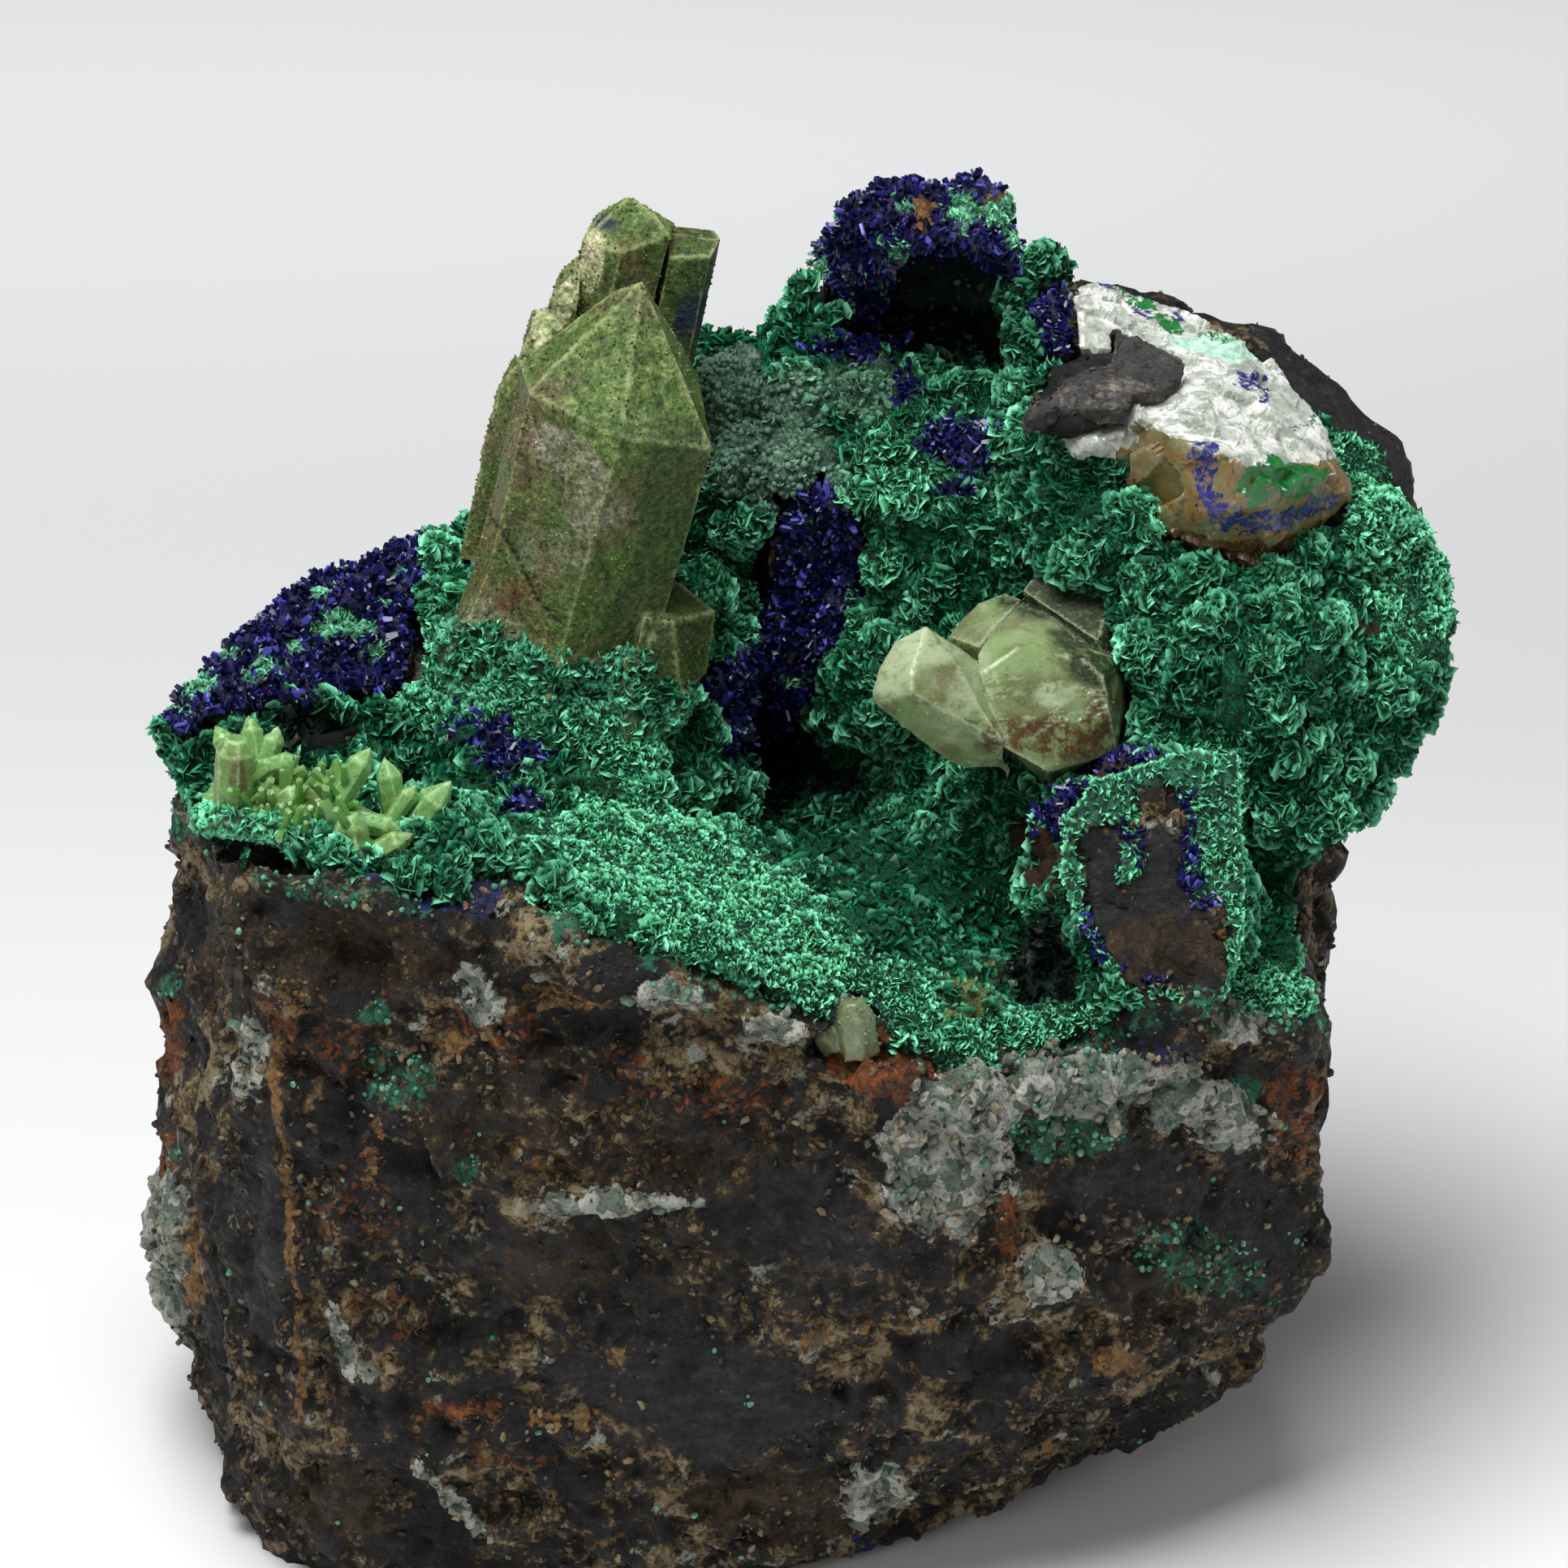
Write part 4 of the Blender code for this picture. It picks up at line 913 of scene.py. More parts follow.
@dataclass(frozen=True)
class RockFinish:
    """Dark limonitic rock: grains from black to cream, stains, quartz and the painted shade of the hollow, steered by
    baked shares.
    """

    name: str = "matrix_rock_finish"
    black: tuple = (0.006, 0.0055, 0.0055)
    soot: tuple = (0.014, 0.0115, 0.010)
    brown: tuple = (0.058, 0.034, 0.012)
    tan: tuple = (0.18, 0.112, 0.040)
    cream: tuple = (0.34, 0.27, 0.15)
    rust: tuple = (0.26, 0.075, 0.014)
    ochre: tuple = (0.34, 0.18, 0.055)
    quartz: tuple = (0.42, 0.45, 0.385)
    ash: tuple = (0.155, 0.175, 0.138)
    sage: tuple = (0.16, 0.22, 0.165)
    chalk: tuple = (0.66, 0.66, 0.58)
    green: tuple = (0.03, 0.19, 0.11)
    blue: tuple = (0.022, 0.035, 0.16)
    # Near black: painted shade of the hollow under the lip.
    night: tuple = (0.003, 0.008, 0.016)
    slate: tuple = (0.016, 0.0145, 0.0145)
    dun: tuple = (0.046, 0.038, 0.033)
    lightness: float = 0.265

    def make(self) -> Material:
        """Return the material."""
        g = Graph(self.name)
        broad = g.noise(5.0, 5.0, 0.68, twist=0.9)
        small = g.noise(1.0, 6.0, 0.78, twist=0.6)
        clump = g.noise(2.2, 5.0, 0.7, twist=0.8)
        coarse, coarse_2, coarse_far = g.pick(0.75, g.warp(0.8, 0.9))
        fine, fine_2, fine_far = g.pick(0.30, g.warp(0.35, 0.40))
        level = g.about(broad, 2.4)
        for pattern, width in ((small, 1.4), (clump, 1.5), (coarse, 0.30), (fine, 0.30)):
            level = g.plus(level, g.about(pattern, width))
        level = g.plus(g.plus(level, g.times(g.share("grain"), 0.20)), self.lightness)
        g.colour = g.ramp(level, ((0.0, self.black), (0.42, self.soot), (0.52, self.brown), (0.66, self.tan),
                                  (0.86, self.cream)))
        g.over(g.times(g.span(coarse_2, 0.78, 1.0), g.span(level, 0.45, 0.65)),
               g.mix(g.span(level, 0.45, 0.8), self.ash, self.quartz))
        bed = g.noise(0.8, 4.0, 0.7, where=g.stretch((0.35, 1.0, 1.6), (0.0, 0.35, 0.2)))
        g.over(g.span(g.share("slate"), 0.2, 0.9),
               g.ramp(g.plus(bed, g.times(fine, 0.1)), ((0.38, self.black), (0.56, self.slate), (0.76, self.dun))))
        edge = g.plus(g.about(small, 1.9), g.about(fine_2, 0.55))
        tones = g.plus(0.45, g.times(fine, 0.9))
        for label, low in (("brown", 0.45), ("rust", 0.55), ("ochre", 0.55), ("green", 0.62), ("blue", 0.62)):
            tone = getattr(self, label)
            cover = g.span(g.plus(g.share(label), edge), low, low + 0.22)
            deep = g.mix(g.span(clump, 0.36, 0.56), tuple(part * 0.40 for part in tone), tone)
            g.over(cover, g.tint(deep, tones))
        white = g.span(g.plus(g.share("quartz"), g.times(edge, 0.8)), 0.50, 0.62)
        stone = g.ramp(g.plus(g.times(clump, 0.6), g.times(coarse, 0.4)),
                       ((0.25, self.ash), (0.40, self.sage), (0.50, self.quartz), (0.64, self.chalk)))
        stone = g.mix(g.span(small, 0.30, 0.5), g.tint(stone, (0.40, 0.42, 0.34)), stone)
        g.over(white, stone)
        g.over(g.span(fine_far, 0.62, 0.9), g.tint(g.colour, (0.35, 0.35, 0.35)))
        # The night share lays painted shade of the hollow: near black with a dark green mottle.
        g.over(g.share("night"), g.mix(g.span(small, 0.4, 0.62), self.night, (0.008, 0.06, 0.042)))
        fleck, _, _ = g.pick(0.16)
        g.over(g.times(g.span(fleck, 0.955, 0.975), g.span(level, 0.40, 0.55)), self.tan)
        normal = g.relief((g.times(fine_far, -1.0), 0.16, 0.9), (g.times(coarse_far, -1.0), 0.30, 0.8),
                          (g.noise(0.22, 4.0, 0.8), 0.12, 0.8), (small, 1.1, 0.8))
        dull = g.sum("SUBTRACT", g.span(fine_2, 0.0, 1.0, 0.46, 0.85), g.times(white, 0.25))
        g.set(Base_Color=g.colour, Normal=normal, Specular_IOR_Level=0.42, Roughness=dull)
        return g.material


@dataclass(frozen=True)
class MalachiteFinish:
    """Green velvet: deep between the blades, with painted shade at the foot of each blade and a painted highlight of
    pale mint on its top edge.
    """

    # Deep green: painted shade at the foot of the blades, and the dark of the crust's own mottle.
    deep: tuple = (0.0004, 0.014, 0.0055)
    green: tuple = (0.003, 0.18, 0.068)
    # Pale mint: the painted highlight on the blades' top edges, and pale spots on the crust.
    mint: tuple = (0.31, 1.0, 0.60)
    grey: tuple = (0.24, 0.38, 0.26)
    # Near black: painted shade of the hollow, laid where the dark share is.
    night: tuple = (0.0004, 0.0045, 0.0032)

    def blades(self) -> Material:
        """Return the finish of the blades."""
        g = Graph("malachite_blade_finish")
        tip = g.share("tip")
        tone = g.share("tone")
        # Each blade is painted from deep green at its foot, painted shade, up to pale mint at its top edge, a painted
        # highlight, along the tip share.
        body = g.mix(tone, (0.0010, 0.042, 0.016), g.mix(0.24, self.green, self.mint))
        edge = g.mix(tone, (0.008, 0.19, 0.088), self.mint)
        g.colour = g.mix(g.span(tip, 0.0, 0.4), self.deep, body)
        g.over(g.span(tip, 0.35, 0.85), edge)
        g.over(g.share("pale"), self.grey)
        # The dark share lays painted shade of the hollow on the blades.
        g.over(g.share("dark"), self.night)
        g.set(Base_Color=g.colour, Roughness=0.5, Specular_IOR_Level=0.3)
        return g.material

    def ground(self) -> Material:
        """Return the finish of the crust between the blades."""
        g = Graph("malachite_ground_finish")
        fuzz = g.noise(0.30, 4.0, 0.75, twist=1.2)
        g.colour = g.mix(g.span(fuzz, 0.4, 0.7), self.deep, self.green)
        pale = g.times(g.share("tone"), g.span(fuzz, 0.52, 0.72))
        g.over(pale, self.mint)
        g.over(g.times(g.share("pale"), 0.85), g.mix(g.span(fuzz, 0.4, 0.65), (0.03, 0.09, 0.06), self.grey))
        g.over(g.span(g.share("olive"), 0.25, 0.75),
               g.mix(g.span(fuzz, 0.35, 0.65), (0.03, 0.05, 0.012), (0.20, 0.25, 0.09)))
        # Blue and brown are stains; the dark share lays painted shade of the hollow.
        for label, tone in (("blue", (0.004, 0.005, 0.045)), ("brown", (0.045, 0.022, 0.010)), ("dark", self.night)):
            g.over(g.span(g.share(label), 0.25, 0.75), tone)
        normal = g.relief((fuzz, 0.25, 0.9), (g.noise(0.12, 3.0, 0.8), 0.08, 0.8))
        g.set(Base_Color=g.colour, Roughness=0.75, Specular_IOR_Level=0.25, Normal=normal)
        return g.material


@dataclass(frozen=True)
class AzuriteFinish:
    """Deep blue glassy crystals."""

    night: tuple = (0.0015, 0.002, 0.012)
    blue: tuple = (0.008, 0.008, 0.105)
    # Pale violet: painted glints on a random few crystals.
    violet: tuple = (0.10, 0.09, 0.50)

    def crystals(self) -> Material:
        """Return the finish of the crystals."""
        g = Graph("azurite_crystal_finish")
        g.colour = g.mix(g.share("tone"), self.night, self.blue)
        # A random fifth of the crystals are painted pale violet as glints, a painted highlight.
        g.over(g.span(g.share("pale"), 0.80, 1.0), self.violet)
        g.set(Base_Color=g.colour, Roughness=0.28, Specular_IOR_Level=0.5)
        return g.material

    def ground(self) -> Material:
        """Return the finish of the crust between the crystals."""
        g = Graph("azurite_ground_finish")
        fuzz = g.noise(0.35, 4.0, 0.75, twist=0.8)
        g.colour = g.mix(g.span(fuzz, 0.4, 0.7), self.night, self.blue)
        g.over(g.span(g.share("brown"), 0.3, 0.7),
               g.mix(g.span(fuzz, 0.35, 0.7), (0.05, 0.02, 0.006), (0.30, 0.13, 0.03)))
        g.over(g.span(g.share("mint"), 0.3, 0.7),
               g.mix(g.span(fuzz, 0.35, 0.7), (0.01, 0.12, 0.06), (0.20, 0.5, 0.33)))
        g.set(Base_Color=g.colour, Roughness=0.45, Specular_IOR_Level=0.5, Normal=g.bump(fuzz, 0.25, 0.9))
        return g.material


@dataclass(frozen=True)
class DrusyFinish:
    """Quartz under a skin of tiny green and tan crystals."""

    name: str
    light: tuple = (0.22, 0.285, 0.095)
    green: tuple = (0.060, 0.125, 0.018)
    tan: tuple = (0.125, 0.11, 0.042)
    # Dark green: painted shade on the right faces of the large crystal.
    dark: tuple = (0.014, 0.028, 0.007)
    rust: tuple = (0.15, 0.065, 0.018)
    grey: tuple = (0.28, 0.27, 0.19)
    cream: tuple = (0.62, 0.58, 0.38)
    navy: tuple = (0.01, 0.02, 0.045)

    def make(self) -> Material:
        """Return the material."""
        g = Graph(self.name)
        broad = g.noise(3.4, 4.0, 0.6, twist=0.5)
        small = g.noise(0.8, 5.0, 0.72, twist=0.3)
        grit = g.noise(0.26, 4.0, 0.8)
        g.colour = g.mix(g.span(g.plus(g.times(broad, 0.6), g.times(small, 0.4)), 0.42, 0.6), self.tan, self.green)
        g.over(g.times(g.span(small, 0.5, 0.72), 0.6), self.light)
        g.over(g.span(g.share("green"), 0.1, 0.8), g.mix(g.span(small, 0.40, 0.70), self.green, self.light))
        g.over(g.times(g.share("grey"), g.span(small, 0.38, 0.56)), self.grey)
        g.over(g.times(g.share("rust"), g.span(small, 0.4, 0.6)), self.rust)
        g.over(g.span(g.share("cream"), 0.3, 0.7), g.mix(g.span(small, 0.35, 0.65), self.cream, self.light))
        g.over(g.span(g.share("crack"), 0.3, 0.8), (0.02, 0.017, 0.01))
        speck = g.span(g.cell(0.16, out="Color"), 0.78, 0.9)
        g.over(g.times(speck, 0.35), self.light)
        # Painted light on the druse: specks with a high fleck number are drawn as lit copies of the colour, over twice
        # as bright, as painted highlights, and those with a low one as shaded copies, painted shade.
        fleck = g.share("fleck")
        g.over(g.span(fleck, 0.45, 0.9, 0.0, 0.9), g.tint(g.colour, (2.3, 2.2, 1.9)))
        shaded = g.times(g.span(fleck, 0.0, 0.02), g.span(fleck, 0.40, 0.30))
        g.over(shaded, g.tint(g.colour, (0.38, 0.42, 0.30)))
        g.over(g.share("foot"), FOOT_GREEN)
        # The grit noise that raises the bump also sets the colour: painted shade in its pits and a painted highlight on
        # its crests.
        painted_pit_shade = g.span(grit, 0.34, 0.52)
        g.keep(painted_pit_shade, g.tint(g.colour, (0.26, 0.30, 0.20)))
        painted_crest_highlight = g.times(g.span(grit, 0.52, 0.66), 0.85)
        g.over(painted_crest_highlight, g.tint(g.colour, (2.1, 2.0, 1.9)))
        sweep = g.noise(1.1, 4.0, 0.7, where=g.stretch((1.0, 1.0, 0.35)), twist=0.6)
        g.keep(g.span(sweep, 0.34, 0.5), g.tint(g.colour, (0.55, 0.58, 0.5)))
        # The dark share lays painted shade on the right faces of the crystal.
        g.over(g.times(g.share("dark"), 0.82), g.mix(g.span(grit, 0.4, 0.65), self.dark, self.green))
        g.over(g.times(g.share("navy"), g.span(small, 0.36, 0.5)), self.navy)
        # A painted highlight along the sharp edges, from the edge share.
        g.over(g.times(g.share("edge"), g.span(small, 0.38, 0.56, 0.12, 0.72)), (0.40, 0.46, 0.21))
        normal = g.relief((grit, 0.14, 0.9), (g.cell(0.22), 0.07, 0.6), (small, 0.25, 0.5))
        g.set(Base_Color=g.colour, Roughness=g.span(small, 0.3, 0.7, 0.38, 0.62), Normal=normal,
              Specular_IOR_Level=0.4, Subsurface_Weight=0.12, Subsurface_Radius=(0.9, 1.0, 0.5),
              Subsurface_Scale=0.5 * MM)
        return g.material


@dataclass(frozen=True)
class JadeFinish:
    """Quartz that light passes through, tinted by what is in it."""

    name: str
    clear: tuple = (0.34, 0.47, 0.20)
    tan: tuple = (0.22, 0.23, 0.09)
    pale: tuple = (0.58, 0.68, 0.42)
    brown: tuple = (0.14, 0.065, 0.022)
    dark: tuple = (0.035, 0.05, 0.02)
    depth: float = 1.4
    clarity: float = 0.35

    def make(self) -> Material:
        """Return the material."""
        g = Graph(self.name)
        broad = g.noise(2.6, 4.0, 0.55, twist=0.7)
        small = g.noise(0.6, 5.0, 0.7)
        g.colour = g.mix(g.span(broad, 0.4, 0.66), self.clear, self.tan)
        g.over(g.times(g.span(small, 0.5, 0.75), 0.35), self.pale)
        for label, tone, low, high in (("pale", self.pale, 0.3, 0.55), ("rust", self.brown, 0.35, 0.55),
                                       ("dark", self.dark, 0.25, 0.5)):
            g.over(g.times(g.share(label), g.span(small, low, high), True), tone)
        g.over(g.span(g.share("crack"), 0.3, 0.8), (0.03, 0.026, 0.014))
        grit = g.noise(0.18, 4.0, 0.75)
        g.over(g.span(grit, 0.5, 0.8, 0.0, 0.5), self.pale)
        g.over(g.span(grit, 0.28, 0.45, 0.5, 0.0), self.dark)
        g.over(g.span(g.share("fleck"), 0.4, 1.0, 0.0, 0.6), self.pale)
        g.over(g.share("foot"), FOOT_GREEN)
        # A painted highlight along the sharp edges, from the edge share.
        g.over(g.times(g.share("edge"), g.span(grit, 0.35, 0.6, 0.1, 0.7)),
               tuple(min(1.0, part * 1.25) for part in self.pale))
        normal = g.relief((g.noise(0.22, 4.0, 0.7), 0.05, 0.5), (g.noise(1.5, 3.0, 0.6), 0.2, 0.35))
        g.set(Base_Color=g.colour, Roughness=g.span(g.share("frost"), 0.0, 1.0, 0.24, 0.6), Normal=normal,
              IOR=QUARTZ_IOR, Transmission_Weight=self.clarity, Subsurface_Weight=0.45, Coat_Weight=0.15,
              Coat_Roughness=0.2, Subsurface_Radius=(1.0, 1.2, 0.6), Subsurface_Scale=self.depth * MM)
        return g.material


@dataclass(frozen=True)
class MilkFinish:
    """Milky broken quartz with blue, green and rusty stains."""

    milk: tuple = (0.86, 0.87, 0.82)
    ash: tuple = (0.40, 0.42, 0.37)
    amber: tuple = (0.23, 0.125, 0.035)
    brown: tuple = (0.075, 0.030, 0.010)
    olive: tuple = (0.17, 0.155, 0.065)
    green: tuple = (0.005, 0.13, 0.022)
    blue: tuple = (0.007, 0.014, 0.14)
    mint: tuple = (0.42, 0.66, 0.52)

    def make(self) -> Material:
        """Return the material."""
        g = Graph("milky_quartz_finish")
        small = g.noise(0.55, 5.0, 0.72, twist=0.5)
        vein = g.noise(1.6, 5.0, 0.75, where=g.stretch((1.0, 1.8, 0.8), (0.4, 0.2, 0.9)), twist=1.2)
        g.colour = g.mix(g.span(g.noise(1.8, 4.0), 0.4, 0.7), self.milk, self.ash)
        tint = g.noise(0.9, 6.0, 0.75, where=g.stretch((1.0, 1.0, 1.7), (0.5, 0.0, 0.4)), twist=0.9)
        g.over(g.span(tint, 0.47, 0.58, 0.0, 0.85), (0.24, 0.29, 0.225))
        g.over(g.span(tint, 0.32, 0.43, 0.60, 0.0), (0.42, 0.37, 0.25))
        thread = g.span(g.sum("ABSOLUTE", g.sum("SUBTRACT", vein, 0.5)), 0.0, 0.012)
        g.keep(thread, (0.42, 0.43, 0.38))
        spot, _, _ = g.pick(0.22, g.warp(0.4, 0.4))
        base = g.ramp(g.plus(g.noise(1.1, 5.0, 0.72, twist=0.6), g.times(spot, 0.16)),
                      ((0.32, self.brown), (0.48, self.amber), (0.62, self.olive), (0.84, (0.26, 0.26, 0.17))))
        g.over(g.span(g.plus(g.share("amber"), g.times(small, 0.5)), 0.6, 0.85), base)
        for label, tone, low in (("mint", self.mint, 0.62), ("brown", self.brown, 0.66), ("blue", self.blue, 0.68),
                                 ("green", self.green, 0.62), ("grey", self.ash, 0.5)):
            ragged = g.times(g.noise(0.55, 6.0, 0.85, twist=1.1), 0.9)
            cover = g.plus(g.times(g.share(label), 0.42), g.plus(ragged, g.times(spot, 0.16)))
            shade = g.tint(tone, g.plus(-0.5, g.times(small, 3.2)))
            g.over(g.span(g.sum("SUBTRACT", cover, 0.28), low - 0.10, low), shade)
        normal = g.relief((small, 0.12, 0.6), (g.noise(0.15, 3.0, 0.7), 0.04, 0.5))
        g.set(Base_Color=g.colour, Normal=normal, Roughness=0.22, IOR=QUARTZ_IOR, Coat_Weight=0.4, Coat_Roughness=0.1,
              Subsurface_Weight=0.25, Subsurface_Radius=(1.0, 1.0, 0.9), Subsurface_Scale=0.8 * MM)
        return g.material


@dataclass(frozen=True)
class GrainFinish:
    """Small quartz grains that stand in the rock."""

    white: tuple = (0.66, 0.66, 0.54)
    smoke: tuple = (0.16, 0.19, 0.15)
    warm: tuple = (0.52, 0.43, 0.25)
    mint: tuple = (0.10, 0.36, 0.22)

    def make(self) -> Material:
        """Return the material."""
        g = Graph("quartz_grain_finish")
        sort = g.plus(g.noise(2.4, 3.0, 0.6), g.about(g.share("kind"), 0.16))
        g.colour = g.mix(g.times(g.share("tone"), g.span(sort, 0.42, 0.52)), self.smoke, self.white)
        g.over(g.span(sort, 0.56, 0.62), self.warm)
        g.over(g.span(sort, 0.44, 0.38), self.mint)
        shade = g.noise(0.35, 5.0, 0.75, twist=0.5)
        g.keep(g.span(shade, 0.38, 0.66), (0.12, 0.12, 0.09))
        g.set(Base_Color=g.colour, Roughness=g.span(shade, 0.3, 0.7, 0.45, 0.15), IOR=QUARTZ_IOR,
              Transmission_Weight=0.3, Subsurface_Weight=0.3, Subsurface_Radius=(1.0, 1.0, 0.9),
              Subsurface_Scale=0.4 * MM, Normal=g.bump(shade, 0.10, 0.8))
        return g.material


@dataclass(frozen=True)
class GritFinish:
    """Small broken grains of rock, from black to cream."""

    stops: tuple = (
        (0.0, (0.008, 0.007, 0.0065)), (0.35, (0.030, 0.020, 0.010)), (0.55, (0.095, 0.055, 0.020)),
        (0.72, (0.12, 0.088, 0.042)), (0.86, (0.22, 0.18, 0.10)), (1.0, (0.16, 0.05, 0.011)),
    )

    def make(self) -> Material:
        """Return the material."""
        g = Graph("rock_grit_finish")
        shade = g.noise(0.3, 4.0, 0.7)
        level = g.plus(g.share("tone"), g.about(shade, 0.5))
        g.set(Base_Color=g.ramp(level, self.stops), Roughness=g.span(g.share("kind"), 0.0, 1.0, 0.3, 0.8),
              Normal=g.bump(shade, 0.08, 0.7))
        return g.material


@dataclass(frozen=True)
class BeadFinish:
    """Small rounded beads of green and mint."""

    name: str
    low: tuple = (0.012, 0.13, 0.06)
    high: tuple = (0.24, 0.52, 0.36)

    def make(self) -> Material:
        """Return the material."""
        g = Graph(self.name)
        shade = g.noise(0.14, 4.0, 0.75)
        g.colour = g.mix(g.times(g.share("tone"), g.span(shade, 0.3, 0.65)), self.low, self.high)
        g.set(Base_Color=g.colour, Roughness=0.6, Normal=g.bump(shade, 0.05, 0.8))
        return g.material


# The rock


@dataclass
class MatrixRock:
    """The broken block of dark rock."""

    node: str = "matrix_rock"
    voxel: float = 0.62
    chip: float = 2.8
    chip_depth: float = 0.75
    flake: float = 1.1
    flake_depth: float = 0.36
    crumb: float = 0.55
    crumb_depth: float = 0.13
    swell: float = 0.40
    roughness: float = 0.26
    wall_top: float = 46.0
    grit_density: float = 3.4
    grit_size: tuple = (0.36, 0.32, 0.26)
    grain_density: float = 4.2
    grain_size: tuple = (0.62, 0.52, 0.44)
    bead_density: float = 4.5
    bead_size: tuple = (0.30, 0.26, 0.24)
    chance: int = 5
    quartz: tuple = patches(
        (1170, 1420, 78, 105), (1200, 1350, 50, 50), (1295, 1575, 40, 38), (1330, 1330, 90, 45, 15),
        (1450, 1350, 110, 42, 25), (750, 1480, 115, 13, -2), (1080, 1845, 42, 40), (585, 1042, 27, 18),
        (960, 1262, 45, 22), (588, 1225, 30, 38, 0, 0.8), (820, 1222, 50, 26, 10, 0.8), (1523, 1248, 32, 38),
        (208, 1530, 26, 100), (560, 1850, 62, 10, 48), (425, 1655, 12, 50, -20), (310, 1300, 22, 60, 0, 0.7),
        (1180, 1480, 50, 40), (1130, 1440, 30, 40),
    )
    rust: tuple = patches(
        (1130, 1318, 92, 46, 12, 1.4), (1110, 1290, 50, 30, 0, 1.4), (600, 1260, 60, 60, 0, 0.62),
        (206, 1290, 18, 60), (205, 1460, 20, 60), (1590, 1370, 40, 70, 0, 0.6), (420, 1290, 60, 40, 0, 0.5),
        (560, 1740, 60, 14, 0, 0.7), (1240, 1500, 16, 45), (345, 1260, 40, 30, 0, 0.6),
        (620, 1800, 60, 16, 10, 0.6), (450, 1480, 40, 60, 0, 0.5), (760, 1330, 60, 40, 0, 0.5),
        (1740, 650, 18, 60, 30), (240, 825, 22, 16), (500, 1620, 70, 30, 20, 0.5), (900, 1350, 70, 30, 0, 0.6),
    )
    ochre: tuple = patches(
        (352, 1440, 7, 140, -3), (338, 1330, 9, 80, -8), (368, 1650, 6, 110, -2), (760, 1670, 20, 14),
        (1290, 1790, 24, 16), (1380, 1680, 36, 18), (240, 1560, 14, 80), (700, 1230, 60, 20, 0, 0.7),
        (380, 1230, 50, 18, 30, 0.6), (1180, 1270, 30, 12), (560, 1290, 30, 16, 0, 0.7),
        (460, 1420, 12, 60, 10, 0.7), (640, 1420, 50, 14, 30, 0.6), (700, 1750, 80, 12, 5, 0.6),
        (400, 1500, 50, 10, 40, 0.7), (1100, 1640, 60, 14, 0, 0.6), (990, 1640, 30, 30, 0, 0.6),
    )
    green: tuple = patches(
        (490, 1335, 50, 36, 0, 0.8), (575, 1445, 16, 16), (1480, 1550, 90, 45, 20, 0.7), (1300, 1400, 70, 32),
        (1535, 1345, 28, 20), (215, 1420, 8, 14), (208, 1215, 8, 14), (460, 1250, 20, 14),
        (420, 1090, 120, 22, 5, 0.7), (1350, 1290, 90, 30, 20, 0.7),
    )
    blue: tuple = patches(
        (500, 1085, 110, 18, 12), (590, 1100, 30, 24), (1325, 1355, 22, 14), (1060, 1895, 14, 8),
        (1450, 1300, 60, 18, 25, 0.8), (265, 1010, 14, 30),
    )
    slate: tuple = patches(
        (850, 1720, 170, 80, 12), (1010, 1530, 80, 70, 0, 0.7), (1400, 1460, 90, 40),
        (1560, 1500, 50, 60, 0, 0.8), (660, 1560, 100, 40, 8, 0.8), (330, 1560, 30, 110, 0, 0.8),
        (330, 1430, 10, 90), (1390, 470, 80, 36, 0), (1640, 500, 130, 40, 40), (1400, 1100, 90, 90),
    )
    # The hollow under the lip, painted near black as painted shade.
    night: tuple = patches((1150, 360, 150, 110),)
    brown: tuple = patches(
        (440, 1180, 120, 50, 0, 0.8), (1420, 1600, 120, 50, -10, 0.5), (760, 1560, 160, 50, 0, 0.5),
        (960, 1860, 110, 45), (420, 1850, 60, 50), (620, 1380, 120, 90, 0, 0.6), (1430, 1170, 90, 40),
        (830, 1420, 120, 60, 0, 0.6), (280, 1180, 60, 90, 0, 0.6),
    )

    def build(self, frame: dict, crust: BVHTree, covers: list) -> Piece:
        """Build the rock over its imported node.

        Args:
            frame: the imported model.
            crust: search tree of the green crust.
            covers: search trees of all that lies on the rock.

        Returns:
            The rock.
        """
        piece = copy_of(frame["nodes"][self.node], "matrix_block")
        refine(piece, self.voxel)
        self.thicken_front(piece)
        triangulate(piece)
        self.break_surface(piece, crust, covers)
        settle(piece, RockFinish().make(), True, ROCK_SLOT, self.node)
        self.plant(piece)
        return piece

    def plant(self, piece: Piece) -> None:
        """Stand grit, quartz chips and green beads in the rock's surface."""
        rng = np.random.default_rng(self.chance)
        points, normals = points_of(piece), normals_of(piece)
        facing = np.clip(0.45 - normals @ VIEW.axes()[2] * 1.4, 0.12, 1) * self.bare * (points[:, 2] > 0.9)
        clump = np.clip(wave(points, 2.4, 3, 12.0) * 1.9 + 0.30, 0, 1)
        shares = self.shares
        calm = 1 - np.clip(shares["slate"] + shares["quartz"], 0, 1) * 0.9
        self.scatter("rock_grit", Seed.SHARD, piece, facing * calm * (0.10 + self.grit_density * clump**1.5),
                     self.grit_size, GritFinish().make(), rng, 0.25 + 0.75 * clump)
        band = np.clip(wave(points, 1.5, 2, 21.0) * 1.6 + 0.45, 0.1, 1)
        self.scatter("quartz_chips", Seed.SHARD, piece, facing * np.clip(shares["quartz"], 0, 1) ** 2 * band
                     * self.grain_density, self.grain_size, GrainFinish().make(), rng, np.ones(len(points)))
        beaded = np.clip(shares["green"] * 1.6 - 0.5 + wave(points, 1.4, 2, 2.0), 0, 1)
        self.scatter("green_beads", Seed.BEAD, piece, facing * beaded * self.bead_density, self.bead_size,
                     BeadFinish("green_bead_finish").make(), rng, np.ones(len(points)))

